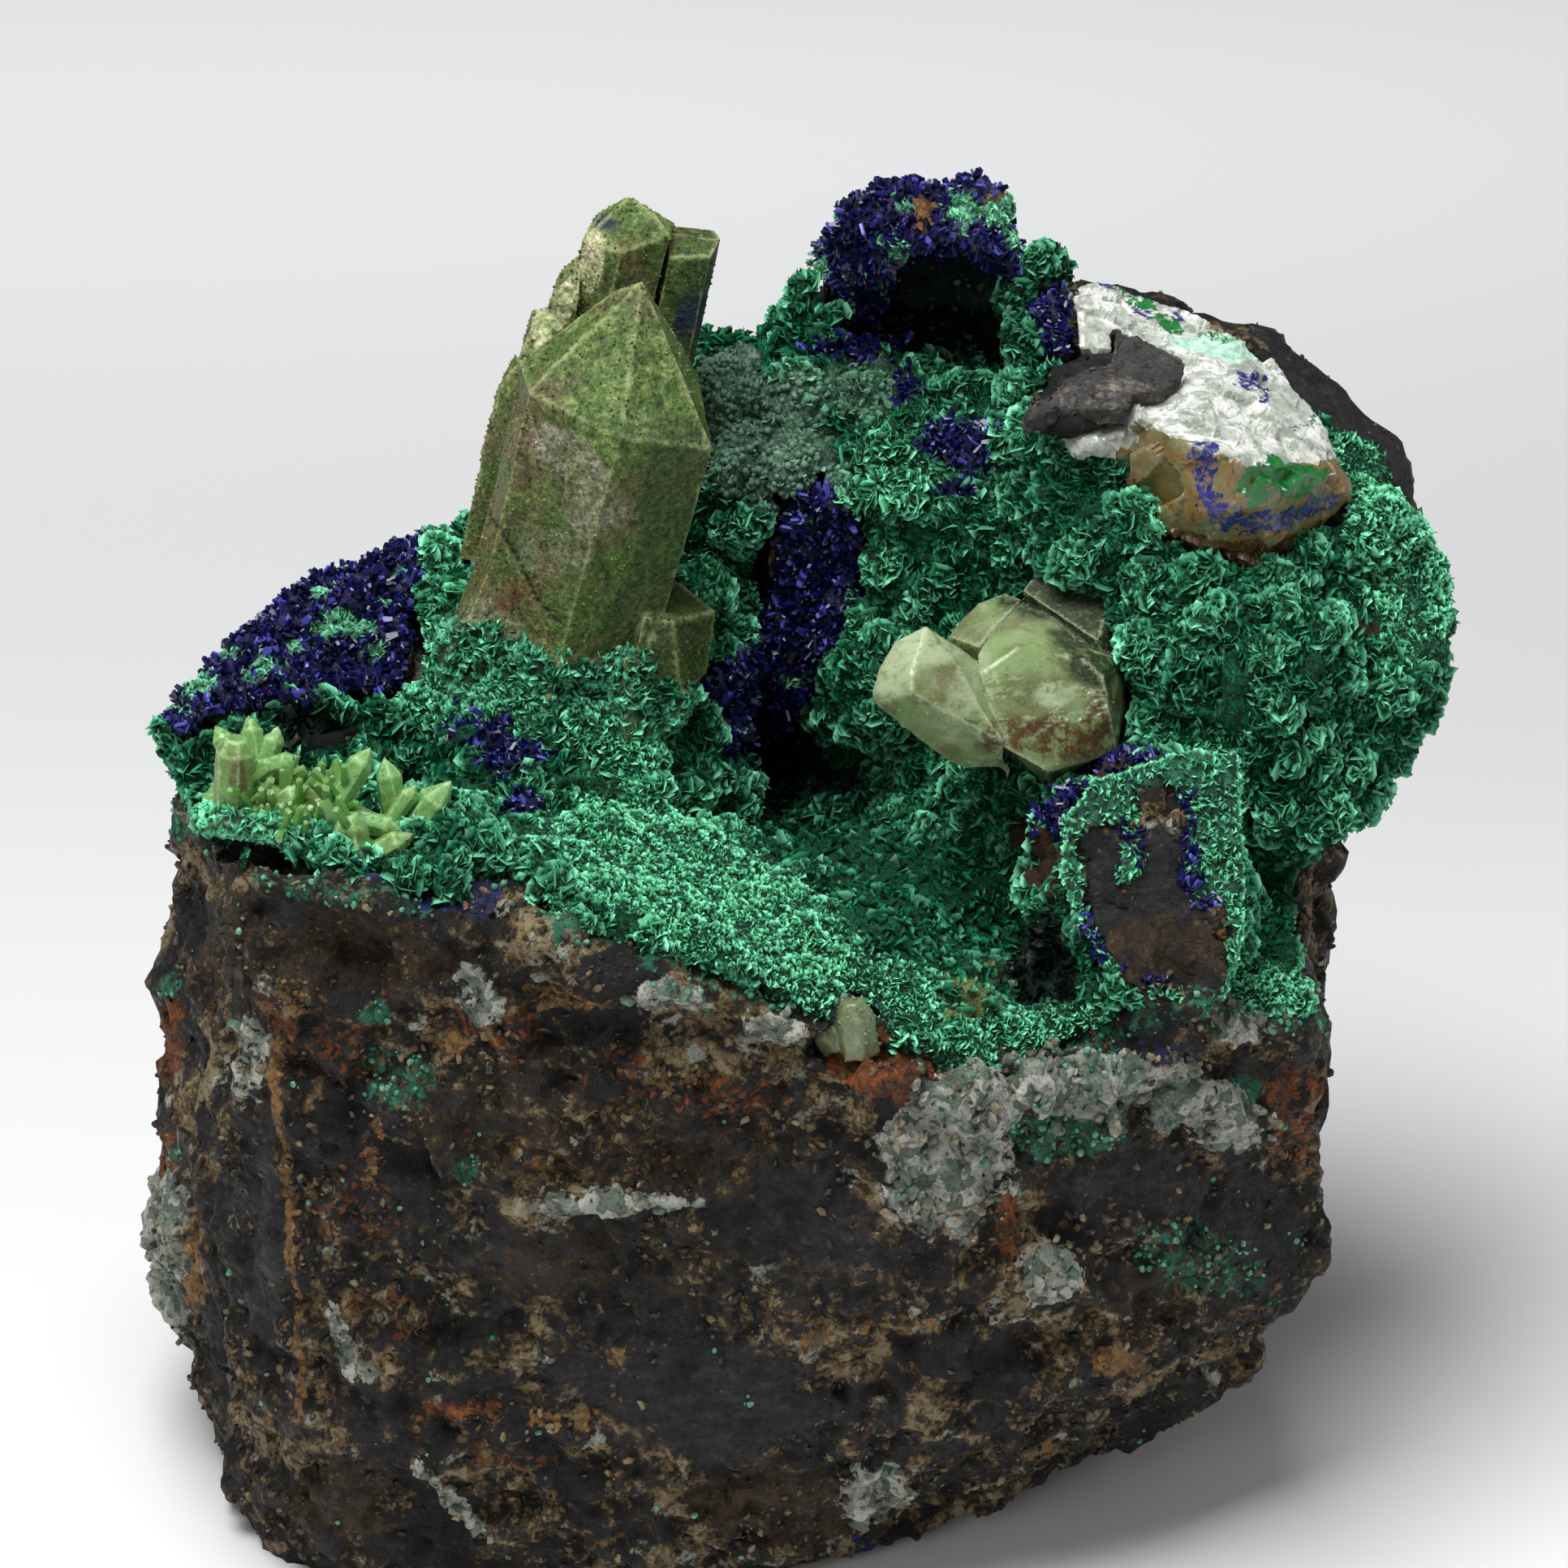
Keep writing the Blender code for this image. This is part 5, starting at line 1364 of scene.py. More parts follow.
    def scatter(self, name: str, kind: Seed, piece: Piece, density: Rows, size: tuple,
                finish: Material, rng: Chance, light: Rows) -> None:
        """Stand grains of one kind in the surface, turned every way.

        Args:
            name: name of the new piece.
            kind: shape of a grain.
            piece: the rock.
            density: grains a square millimetre at each corner.
            size: common length, thickness and height of a grain.
            finish: their material.
            rng: source of chance.
            light: how pale grains may be at each corner.
        """
        places, normals, carry = Ground(piece).sow(density, rng)
        count = len(places)
        along = unit(stray(rng, (count, 3)))
        rise = unit(np.cross(along, normals + rng.random((count, 3)) * 0.2))
        whole = (0.45 + 1.1 * rng.random(count) ** 2)[:, None] * np.array(size)
        made = grow(name, kind, places + normals * (whole[:, 2] * 0.12)[:, None], along, rise, whole,
                    np.zeros(count), {"tone": rng.random(count) * carry(light), "kind": rng.random(count)}, 0.35,
                    rng)
        settle(made, finish, kind is Seed.BEAD, ROCK_SLOT)

    def thicken_front(self, piece: Piece) -> None:
        """Cut the faces of the front wall into smaller ones."""
        tilt = Vector(VIEW.axes()[2])
        with editing(piece) as work:
            front = [f for f in work.faces if f.normal.dot(tilt) < -0.2 and f.normal.y < -0.25
                     and f.calc_center_median().z < self.wall_top * MM]
            edges = list({e for f in front for e in f.edges})
            bmesh.ops.subdivide_edges(work, edges=edges, cuts=1, use_grid_fill=True)

    def rim_share(self, points: Rows, crust: BVHTree) -> Rows:
        """Return 1 where the rock meets the crust's edge, falling to 0 a few millimetres away."""
        far = np.array([crust.find_nearest(Vector(p))[3] for p in points])
        return np.clip(1.25 - far / 3.2, 0, 1)

    def break_surface(self, piece: Piece, crust: BVHTree, covers: list) -> None:
        """Break the even surface into chips, flakes and grit, and bake the stains and the painted shade of the hollow.

        Args:
            piece: the rock.
            crust: search tree of the green crust.
            covers: search trees of all that lies on the rock.
        """
        points, normals = points_of(piece), normals_of(piece)
        # Each share is a stain except night, the painted shade of the hollow.
        carrier = Carrier(piece)
        stains = {
            name: carrier.lay(points, getattr(self, name))
            for name in ("quartz", "rust", "ochre", "green", "blue", "slate", "brown", "night")
        }
        depth = wave(points, 5.0, 4) * self.swell + wave(points, 1.2, 3) * self.roughness
        for size, drop, shift in ((self.chip, self.chip_depth, 3.1), (self.flake, self.flake_depth, 8.7),
                                  (self.crumb, self.crumb_depth, 5.9)):
            _, _, middle = cells(points, size, shift)
            depth += (facets(points, middle, shift) * 2 / size + hashed(middle, shift + 4) - 0.5) * drop
        _, _, middle = cells(points + wave(points, 1.5)[:, None] * 0.2, 1.7, 4.4)
        block = facets(points, middle, 9.5) * 0.9 + (hashed(middle, 2.2) - 0.3) * 0.7
        depth = depth * (1 - 0.75 * stains["quartz"]) + (block + 0.25) * np.clip(stains["quartz"], 0, 1)
        calm = 1 - stains["slate"] * 0.65
        foot = np.clip(points[:, 2] / 1.2, 0, 1)
        flat = np.where(normals[:, 2] < -0.9, 0.0, 1.0) * foot
        rim = self.rim_share(points, crust)
        covered = np.max([hidden_share(points, normals, tree) for tree in covers], axis=0)
        covered[below_rim(points, 10.0) > -18] = 0
        self.bare = 1 - covered
        push = np.where(covered > 0.5, np.minimum(depth * calm, 0) - 0.75, depth * calm - 0.12)
        moved = points + normals * (push * flat)[:, None]
        moved += np.array((0.0, -1.0, 0.0)) * (rim * self.bare * np.clip(-normals[:, 1], 0, 1) * 0.9)[:, None]
        left = np.clip((-27.0 - points[:, 0]) / 2.0, 0, 1) * np.clip(-normals[:, 0], 0, 1) * self.bare * foot
        moved[:, 0] += left * 0.12
        moved[:, 2] = np.maximum(moved[:, 2], 0.0)
        move_points(piece, moved)
        soften(piece, 0.45, 0.3)
        under = below_rim(points, 26.0)
        seam = np.clip(1.1 - np.abs(under - 8) / 34.0, 0, 1) * (points[:, 1] < 2.0)
        stains["green"] = np.maximum(stains["green"], seam * 0.85)
        # The painted shade of the hollow stays off faces that turn away from the front view.
        stains["night"] = stains["night"] * (normals @ VIEW.axes()[2] < 0.1)
        for name, values in stains.items():
            set_share(piece, name, values)
        set_share(piece, "grain", np.clip(0.75 + wave(points, 6.0, 2, 4.0) - stains["slate"] * 0.7, 0, 1))
        self.shares = stains


# The malachite


@dataclass
class MalachiteCrust:
    """The green crust that lines the hollow, with its swarms of blades."""

    node: str = "malachite_crust"
    voxel: float = 0.36
    lump: float = 2.7
    bead: float = 1.0
    sunk: float = 1.15
    rim_width: float = 48.0
    inlay: float = 0.5
    overhang: float = 0.15
    ragged: dict = field(default_factory=lambda: {"blue": 0.5, "brown": 0.5})
    curl_density: float = 4.8
    curl_size: tuple = (0.90, 0.08, 0.46)
    flake_density: float = 18.0
    flake_size: tuple = (0.58, 0.06, 0.44)
    bead_density: float = 9.0
    bead_size: tuple = (0.36, 0.34, 0.34)
    chance: int = 11
    bright: tuple = patches(
        (860, 1080, 210, 80, 22), (1010, 1180, 170, 50, 22), (450, 1030, 120, 22, 12),
        (600, 850, 110, 60, 15, 0.7), (760, 900, 90, 50, 20, 0.7), (1500, 1010, 40, 110, 0, 0.8),
        (1560, 1200, 60, 30), (1690, 590, 70, 80, 30, 0.8), (1740, 740, 50, 90, 0, 0.7),
        (1130, 560, 90, 60, 0, 0.45), (1250, 1280, 130, 30), (920, 690, 60, 50, 0, 0.5),
        (1080, 330, 80, 60, 0, 0.5), (1300, 1250, 60, 24), (1020, 1250, 70, 24, 20), (700, 1130, 90, 25, 30),
        (540, 780, 60, 25, 10, 0.5),
    )
    floor: tuple = patches((1060, 1070, 130, 50, 20), (1150, 1140, 110, 50, 15, 0.8), (1590, 1110, 30, 90))
    pale: tuple = patches(
        (930, 540, 75, 75), (900, 480, 50, 40), (990, 590, 50, 50, 0, 0.8), (1060, 480, 60, 30, 0, 0.5),
    )
    # Painted shade: the cave under the lip, deep pockets and the hollow beside the fin are painted near black.
    dark: tuple = patches(
        (1170, 410, 95, 42), (950, 930, 90, 55, 10), (1280, 1180, 50, 60), (380, 900, 50, 28),
        (1010, 960, 60, 30, 0, 0.7), (1100, 400, 60, 40),
    )
    blue: tuple = patches(
        (1010, 350, 34, 30), (1060, 430, 60, 14), (1290, 400, 26, 40), (1250, 310, 30, 26),
        (1180, 600, 30, 12, 0, 0.8), (1190, 545, 48, 28), (1120, 480, 18, 14), (590, 895, 40, 16),
        (640, 930, 36, 24), (640, 990, 24, 10), (1320, 1000, 40, 30), (1330, 1060, 26, 60), (1000, 640, 26, 40),
        (730, 800, 60, 12, 10), (1370, 945, 60, 14), (1370, 1180, 20, 40),
    )
    brown: tuple = patches(
        (1290, 1070, 24, 44), (1265, 1030, 20, 20), (1680, 770, 20, 13), (1390, 960, 60, 12),
    )
    olive: tuple = patches(
        (345, 1010, 60, 34, 20), (1205, 1215, 40, 22), (1190, 1240, 24, 14), (700, 790, 40, 12),
        (240, 850, 40, 24),
    )

    def relief(self, points: Rows) -> Rows:
        """Return how far the crust swells at each point: lumps with deep gaps, and beads on them."""
        near, second, _ = cells(points + wave(points, 2.0)[:, None] * 0.6, self.lump, 1.7)
        small, beside, _ = cells(points + wave(points, 0.9, 1, 4.0)[:, None] * 0.2, self.bead, 5.2)
        calm = 1 - 0.80 * np.maximum(self.shares["floor"], self.shares["bright"] * 0.75)
        gap = np.sqrt(np.clip((second - near) / 0.42, 0, 1))
        dome = np.sqrt(np.clip(1 - (near / 0.95) ** 2, 0, 1))
        rise = gap * dome * 1.45 * calm
        rise += np.sqrt(np.clip((beside - small) / 0.5, 0, 1)) * (0.16 + 0.26 * calm)
        return rise + wave(points, 3.5, 3) * 0.25 + (1 - calm) * 0.75

    def build(self, frame: dict, rock: BVHTree, plates: list) -> Piece:
        """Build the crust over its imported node.

        Args:
            frame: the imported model.
            rock: search tree of the rock behind the crust.
            plates: the flat pieces of rock that stand clear of the crust.

        Returns:
            The crust without its blades.
        """
        piece = copy_of(frame["nodes"][self.node], "malachite_velvet")
        refine(piece, self.voxel)
        triangulate(piece)
        points, normals = points_of(piece), normals_of(piece)
        carrier = Carrier(piece)
        self.shares = {name: carrier.lay(points, getattr(self, name), self.ragged.get(name, 0.35))
                       for name in ("bright", "floor", "pale", "dark", "blue", "brown", "olive")}
        rise = self.relief(points)
        moved = points + normals * (rise - self.sunk)[:, None]
        low = below_rim(moved, 16.0)
        thin = np.clip(1.0 + low / self.rim_width, 0, 1)
        for i in np.flatnonzero(thin > 0):
            spot, _, _, far = rock.find_nearest(Vector(moved[i]))
            want = self.overhang if low[i] < 0 else -self.inlay
            moved[i] += (np.array(spot) - moved[i]) / max(far, 1e-6) * (far - want) * thin[i] ** 1.5
        for plate in plates:
            moved += plate.clear_of(moved)
        move_points(piece, moved)
        self.gone = np.maximum(low > -4, np.max([plate.covers(points) for plate in plates], axis=0))
        # Tone follows the bright and floor patches and random waves, and also the relief: painted shade darkens the
        # gaps between lumps and a painted highlight lightens their tops.
        self.shares["tone"] = np.clip(
            0.12 + 1.08 * self.shares["bright"] * (1 - self.shares["floor"]) - 0.4 * self.shares["floor"]
            + 0.18 * wave(points, 4.0, 2, 2.0) + 0.2 * wave(points, 1.0, 2, 9.0) + 0.6 * (rise - 0.95), 0, 1)
        for name in ("tone", "pale", "dark", "blue", "brown", "olive"):
            set_share(piece, name, self.shares[name])
        settle(piece, MalachiteFinish().ground(), True, GREEN_SLOT, self.node)
        self.hidden = hidden_share(points, normals, rock)
        return piece

    def plant(self, piece: Piece) -> None:
        """Cover the crust with blades."""
        rng = np.random.default_rng(self.chance)
        shares = self.shares
        clear = np.clip(1 - self.hidden - shares["blue"] - shares["brown"] - shares["olive"] * 0.8, 0, 1)
        clear *= 1 - self.gone
        finish = MalachiteFinish().blades()
        ground = Ground(piece, shares)
        big = clear * (1 - 0.9 * shares["floor"]) * (1 - 0.75 * shares["bright"]) * (1 - shares["pale"])
        grow_blades("malachite_curls", Seed.CURL, ground, big * self.curl_density, self.curl_size, 0.36, 2, finish, rng)
        fine = clear * (0.60 + 0.75 * shares["bright"]) * (1 - 0.7 * shares["floor"]) * (1 - 0.7 * shares["pale"])
        grow_blades("malachite_flakes", Seed.FLAKE, ground, fine * self.flake_density, self.flake_size, 0.25, 3,
                    finish, rng)
        places, normals, carry = ground.sow(clear * shares["pale"] * self.bead_density, rng)
        count = len(places)
        beads = grow("pale_beads", Seed.BEAD, places + normals * 0.06, unit(stray(rng, (count, 3))), normals,
                     (0.5 + 0.8 * rng.random(count))[:, None] * np.array(self.bead_size), np.zeros(count),
                     {"tone": carry(shares["tone"]) * 0.5 + rng.random(count) * 0.8}, 0.1, rng)
        finish = BeadFinish("pale_bead_finish", (0.045, 0.13, 0.085), (0.20, 0.36, 0.24)).make()
        settle(beads, finish, True, GREEN_SLOT)


def grow_blades(name: str, kind: Seed, ground: Ground, density: Rows, size: tuple,
                bend: float, parts: int, finish: Material, rng: Chance) -> None:
    """Grow one kind of green blade, shared out over a few pieces.

    Args:
        name: first part of the pieces' names.
        kind: shape of a blade.
        ground: the surface, with its shares of tone, pale, dark and bright; dark is painted shade of the hollow.
        density: blades a square millimetre at each corner.
        size: common length, thickness and height of a blade.
        bend: how far a blade curls.
        parts: number of pieces.
        finish: their material.
        rng: source of chance.
    """
    places, normals, carry = ground.sow(density, rng)
    count = len(places)
    tone, pale, dark, bright = (carry(ground.shares[k]) for k in ("tone", "pale", "dark", "bright"))
    scale = (0.6 + 0.75 * rng.random(count)) * (1 - 0.42 * bright - 0.3 * pale)
    lean = unit(normals + stray(rng, (count, 3), 1.5))
    along = swirl(places, lean, 1.3, stray(rng, count))
    along = unit(along + lean * stray(rng, count, 0.8)[:, None])
    whole = scale[:, None] * np.array(size)
    mids = places + lean * (whole[:, 2] * 0.28)[:, None]
    curl = stray(rng, count, 2 * bend)
    # The dark share darkens the blades as painted shade of the hollow.
    colour = np.clip(tone + stray(rng, count, 0.5), 0, 1) * (1 - dark)
    owner = np.arange(count) % parts
    for part in range(parts):
        pick = owner == part
        label = name if parts == 1 else f"{name}_{part + 1}"
        piece = grow(label, kind, mids[pick], along[pick], lean[pick], whole[pick], curl[pick],
                     {"tone": colour[pick], "pale": pale[pick] * 0.8, "dark": dark[pick]}, 0.0, rng)
        settle(piece, finish, False, GREEN_SLOT)


def hidden_share(points: Rows, normals: Rows, rock: BVHTree) -> Rows:
    """Return 1 where a point faces the rock behind it, and 0 where it is open.

    Args:
        points: places in millimetres.
        normals: surface normals.
        rock: search tree of the rock.

    Returns:
        One share for each point.
    """
    hidden = np.zeros(len(points))
    for i, (point, normal) in enumerate(zip(points, normals)):
        way = Vector(normal)
        hit = rock.ray_cast(Vector(point) + way * 0.05, way, 1.6)[0]
        hidden[i] = 1.0 if hit is not None else 0.0
    return hidden


# Flat pieces of bare rock


@dataclass
class Plate:
    """A broken flat piece of rock that stands clear of the crust."""

    name: str
    outline: tuple
    spots: tuple
    lift: float
    depth: float
    voxel: float = 0.16
    reach: float = 5.0
    clearance: float = 0.7
    chip: float = 1.0
    chip_depth: float = 0.22
    finish: RockFinish = RockFinish()
    crusted: float = 0.0
    zones: dict = field(default_factory=dict)
    middle: Rows | None = None
    normal: Rows | None = None

    def place(self, rock: Carrier) -> None:
        """Find the plane that the piece lies in."""
        middle, self.normal = rock.plane(self.spots)
        self.middle = middle + self.normal * self.lift

    def covers(self, points: Rows) -> Rows:
        """Return 1 for each point that the piece hides in the front view, 0 for the others."""
        inside = inside_outline(VIEW.picture(points), self.outline)
        return (inside & (np.abs((points - self.middle) @ self.normal) < self.reach)).astype(float)

    def clear_of(self, points: Rows) -> Rows:
        """Return the move that takes each point behind the face of the piece."""
        front = (points - self.middle) @ self.normal + self.clearance
        return -self.normal * (np.clip(front, 0, 4) * self.covers(points))[:, None]

    def build(self) -> Piece:
        """Build the piece, and return it."""
        work = bmesh.new()
        eye = VIEW.eye()
        ring = []
        for x, y in self.outline:
            way = np.array(VIEW.sight(x, y))
            spot = eye + way * ((self.middle - eye) @ self.normal / (way @ self.normal))
            ring.append(work.verts.new(spot * MM))
        made = bmesh.ops.extrude_face_region(work, geom=[work.faces.new(ring)])
        back = [part for part in made["geom"] if isinstance(part, bmesh.types.BMVert)]
        bmesh.ops.translate(work, verts=back, vec=Vector(-self.normal * self.depth * MM))
        bmesh.ops.recalc_face_normals(work, faces=work.faces)
        mesh = bpy.data.meshes.new(self.name)
        work.to_mesh(mesh)
        work.free()
        piece = add_object(self.name, mesh)
        refine(piece, self.voxel)
        triangulate(piece)
        points, normals = points_of(piece), normals_of(piece)
        carrier = Carrier(piece)
        self.shares = {label: carrier.fill(points, zones) for label, zones in self.zones.items()}
        _, _, middle = cells(points, self.chip, 3.3)
        rise = (facets(points, middle, 0.5) * 2 / self.chip + hashed(middle, 4.5) - 0.5) * self.chip_depth
        bare = self.shares.pop("bare", np.ones(len(points)))
        front = (normals @ self.normal > 0.5) * bare
        self.shares["green"] = (1 - front) * self.crusted
        rise += wave(points, 0.5, 3) * 0.07 - 0.25 * self.shares.get("sunk", np.zeros(len(points)))
        rise -= front * 0.18
        move_points(piece, points + normals * rise[:, None])
        for label, values in self.shares.items():
            set_share(piece, label, values)
        settle(piece, self.finish.make(), True, ROCK_SLOT)
        return piece


FIN_OUTLINE = (
    (1312, 1075), (1318, 1012), (1352, 965), (1400, 948), (1440, 935), (1524, 928), (1527, 1030), (1526, 1164),
    (1508, 1215), (1470, 1235), (1420, 1225), (1365, 1185), (1330, 1130),
)
FIN_BARE = (
    (1332, 1022), (1348, 1014), (1378, 1012), (1383, 1038), (1380, 1070), (1378, 1084), (1394, 1090), (1412, 1078),
    (1428, 1060), (1412, 1042), (1398, 1022), (1402, 998), (1398, 978), (1408, 968), (1450, 970), (1456, 990),
    (1465, 1002), (1460, 1022), (1466, 1038), (1456, 1060), (1452, 1090), (1472, 1106), (1496, 1122), (1514, 1130),
    (1514, 1152), (1496, 1186), (1504, 1198), (1490, 1218), (1412, 1220), (1388, 1194), (1360, 1170), (1342, 1138),
    (1332, 1106), (1338, 1082), (1328, 1050),
)


# The blades on the fin: how many a square millimetre, their size and their seed of chance.
FIN_DENSITY = 20.0
FIN_BLADE = (0.5, 0.06, 0.4)
FIN_CHANCE = 31


def plates() -> list:
    """Return the end of the fin and the bare slab on the right rim."""
    return [
        Plate(
            "fin_block", FIN_OUTLINE, ((1360, 1060), (1440, 1060), (1440, 1160)), 0.35, 2.6, crusted=1.0,
            zones={
                "bare": (Zone(FIN_BARE),),
                "blue": (
                    Zone(((1380, 1012), (1396, 1012), (1402, 1040), (1418, 1060), (1408, 1070), (1392, 1050))),
                    Zone(((1452, 1040), (1478, 1040), (1474, 1100), (1456, 1100)), 0.9),
                    Zone(((1392, 1186), (1440, 1196), (1436, 1214), (1400, 1208)), 0.8),
                    Zone(((1452, 972), (1470, 972), (1470, 1066), (1454, 1066))),
                    Zone(((1338, 1120), (1362, 1150), (1410, 1180), (1412, 1202), (1352, 1180), (1330, 1130))),
                    Zone(((1392, 1022), (1416, 1018), (1414, 1046), (1394, 1048))),
                    Zone(((1478, 1100), (1504, 1102), (1500, 1128), (1476, 1124)), 0.8),
                ),
                "ochre": (Zone(((1378, 1096), (1430, 1119), (1471, 1129), (1513, 1146), (1512, 1156), (1470, 1139),
                                (1428, 1129), (1380, 1106))),),
                "brown": (Zone(((1333, 1103), (1400, 1112), (1512, 1156), (1510, 1190), (1420, 1178), (1345, 1150)),
                               0.2),),
                "sunk": (Zone(((1333, 1106), (1430, 1126), (1513, 1154), (1512, 1210), (1420, 1215), (1345, 1160))),),
                "slate": (Zone(FIN_BARE, 0.9),),
            },
            finish=RockFinish("fin_rock_finish", black=(0.003, 0.0035, 0.004), slate=(0.006, 0.0065, 0.007),
                              dun=(0.020, 0.014, 0.011), brown=(0.024, 0.013, 0.007)),
        ),
        Plate(
            "bare_slab",
            ((1260, 505), (1279, 492), (1299, 483), (1308, 470), (1344, 450), (1370, 447), (1377, 408), (1403, 414),
             (1438, 431), (1461, 447), (1451, 466), (1435, 479), (1396, 483), (1390, 502), (1344, 502), (1305, 501),
             (1266, 518)),
            ((1308, 475), (1345, 470), (1390, 420)), 0.6, 1.0, voxel=0.13, chip_depth=0.05,
            finish=RockFinish("bare_slab_finish", soot=(0.11, 0.104, 0.098), brown=(0.26, 0.235, 0.215),
                              black=(0.065, 0.061, 0.058)),
        ),
    ]


# The azurite


@dataclass
class AzuriteCrusts:
    """The four blue crusts, with their swarms of small crystals."""

    nodes: tuple = ("azurite_left_rim", "azurite_crown", "azurite_tuft", "azurite_band")
    voxel: float = 0.34
    crystal_density: float = 24.0
    patch_density: float = 18.0
    crystal_size: tuple = (0.50, 0.10, 0.30)
    tuft_density: float = 26.0
    tuft_size: tuple = (0.5, 0.1, 0.3)
    sunk: float = 0.45
    rim_sunk: float = 0.75
    chance: int = 23
    brown: tuple = patches(
        (1140, 258, 16, 30, 10), (1222, 250, 20, 12), (1262, 352, 12, 16), (1265, 396, 14, 10),
    )
    mint: tuple = patches(
        (1033, 275, 10, 16), (1182, 262, 16, 22), (1105, 308, 16, 14), (1010, 330, 16, 16), (1112, 348, 12, 10),
        (1250, 290, 14, 20, 30), (1285, 320, 12, 14), (325, 820, 26, 14), (360, 790, 12, 10),
        (425, 755, 24, 10), (300, 760, 14, 8), (480, 740, 12, 10), (1230, 260, 20, 14), (470, 800, 14, 8),
        (240, 840, 24, 14), (350, 735, 14, 8), (400, 775, 12, 7), (395, 725, 10, 8), (520, 760, 14, 20),
        (280, 800, 12, 8), (455, 770, 10, 8), (215, 870, 16, 12), (500, 700, 14, 10),
    )

    def build(self, frame: dict, rock: BVHTree) -> list:
        """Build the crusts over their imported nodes, and return them with their shares."""
        made = []
        finish = AzuriteFinish().ground()
        for node in self.nodes:
            piece = copy_of(frame["nodes"][node], node + "_crust")
            refine(piece, self.voxel)
            triangulate(piece)
            points, normals = points_of(piece), normals_of(piece)
            carrier = Carrier(piece)
            brown = carrier.lay(points, self.brown)
            mint = carrier.lay(points, self.mint, 0.5)
            near, second, _ = cells(points + wave(points, 1.4)[:, None] * 0.4, 1.9, 2.2)
            gap = np.sqrt(np.clip((second - near) / 0.4, 0, 1))
            mint = np.maximum(mint, np.clip(wave(points, 1.7, 3, 31.0) * 3.0 - 1.3, 0, 1))
            rise = gap * 0.85 - 0.25 + wave(points, 1.1, 3) * 0.25
            open_share = 1 - hidden_share(points, normals, rock)
            sunk = self.rim_sunk if node == self.nodes[0] else self.sunk
            move_points(piece, points + normals * ((rise - sunk) * open_share)[:, None])
            set_share(piece, "brown", brown)
            set_share(piece, "mint", mint)
            settle(piece, finish, True, BLUE_SLOT, node)
            made.append((piece, open_share * (1 - brown) * (1 - mint) * (0.35 + 0.65 * gap), open_share * mint))
        return made

    def plant(self, made: list, others: list) -> None:
        """Cover the blue crusts, and the blue patches of other pieces, with crystals.

        Args:
            made: what build returned.
            others: pairs of a piece and its blue share at each corner.
        """
        rng = np.random.default_rng(self.chance)
        crowds = [(piece, share * self.crystal_density) for piece, share, _ in made]
        crowds += [(piece, np.clip(share, 0, 1) * self.patch_density) for piece, share in others]
        places, normals = sow_all(crowds, rng)
        count = len(places)
        out = unit(normals + stray(rng, (count, 3), 1.3))
        rise = unit(np.cross(out, stray(rng, (count, 3))))
        size = (0.5 + 1.1 * rng.random(count) ** 1.5)[:, None] * np.array(self.crystal_size)
        mids = places + out * (size[:, 0] * 0.15)[:, None]
        # The pale share picks the crystals painted with a violet glint.
        piece = grow("azurite_crystals", Seed.BLOCK, mids, out, rise, size, np.zeros(count),
                     {"tone": rng.random(count), "pale": rng.random(count)}, 0.25, rng)
        settle(piece, AzuriteFinish().crystals(), False, BLUE_SLOT)
        places, normals = sow_all([(piece, share * self.tuft_density) for piece, _, share in made], rng)
        count = len(places)
        lean = unit(normals + stray(rng, (count, 3), 0.9))
        along = swirl(places, lean, 1.0, stray(rng, count, 2.0))
        size = (0.6 + 0.7 * rng.random(count))[:, None] * np.array(self.tuft_size)
        piece = grow("mint_tufts", Seed.SLIVER, places + lean * 0.1, along, lean, size, stray(rng, count, 0.5),
                     {"tone": 0.5 + 0.5 * rng.random(count), "pale": rng.random(count) * 0.4}, 0.0, rng)
        settle(piece, MalachiteFinish().blades(), False, GREEN_SLOT)


# The quartz


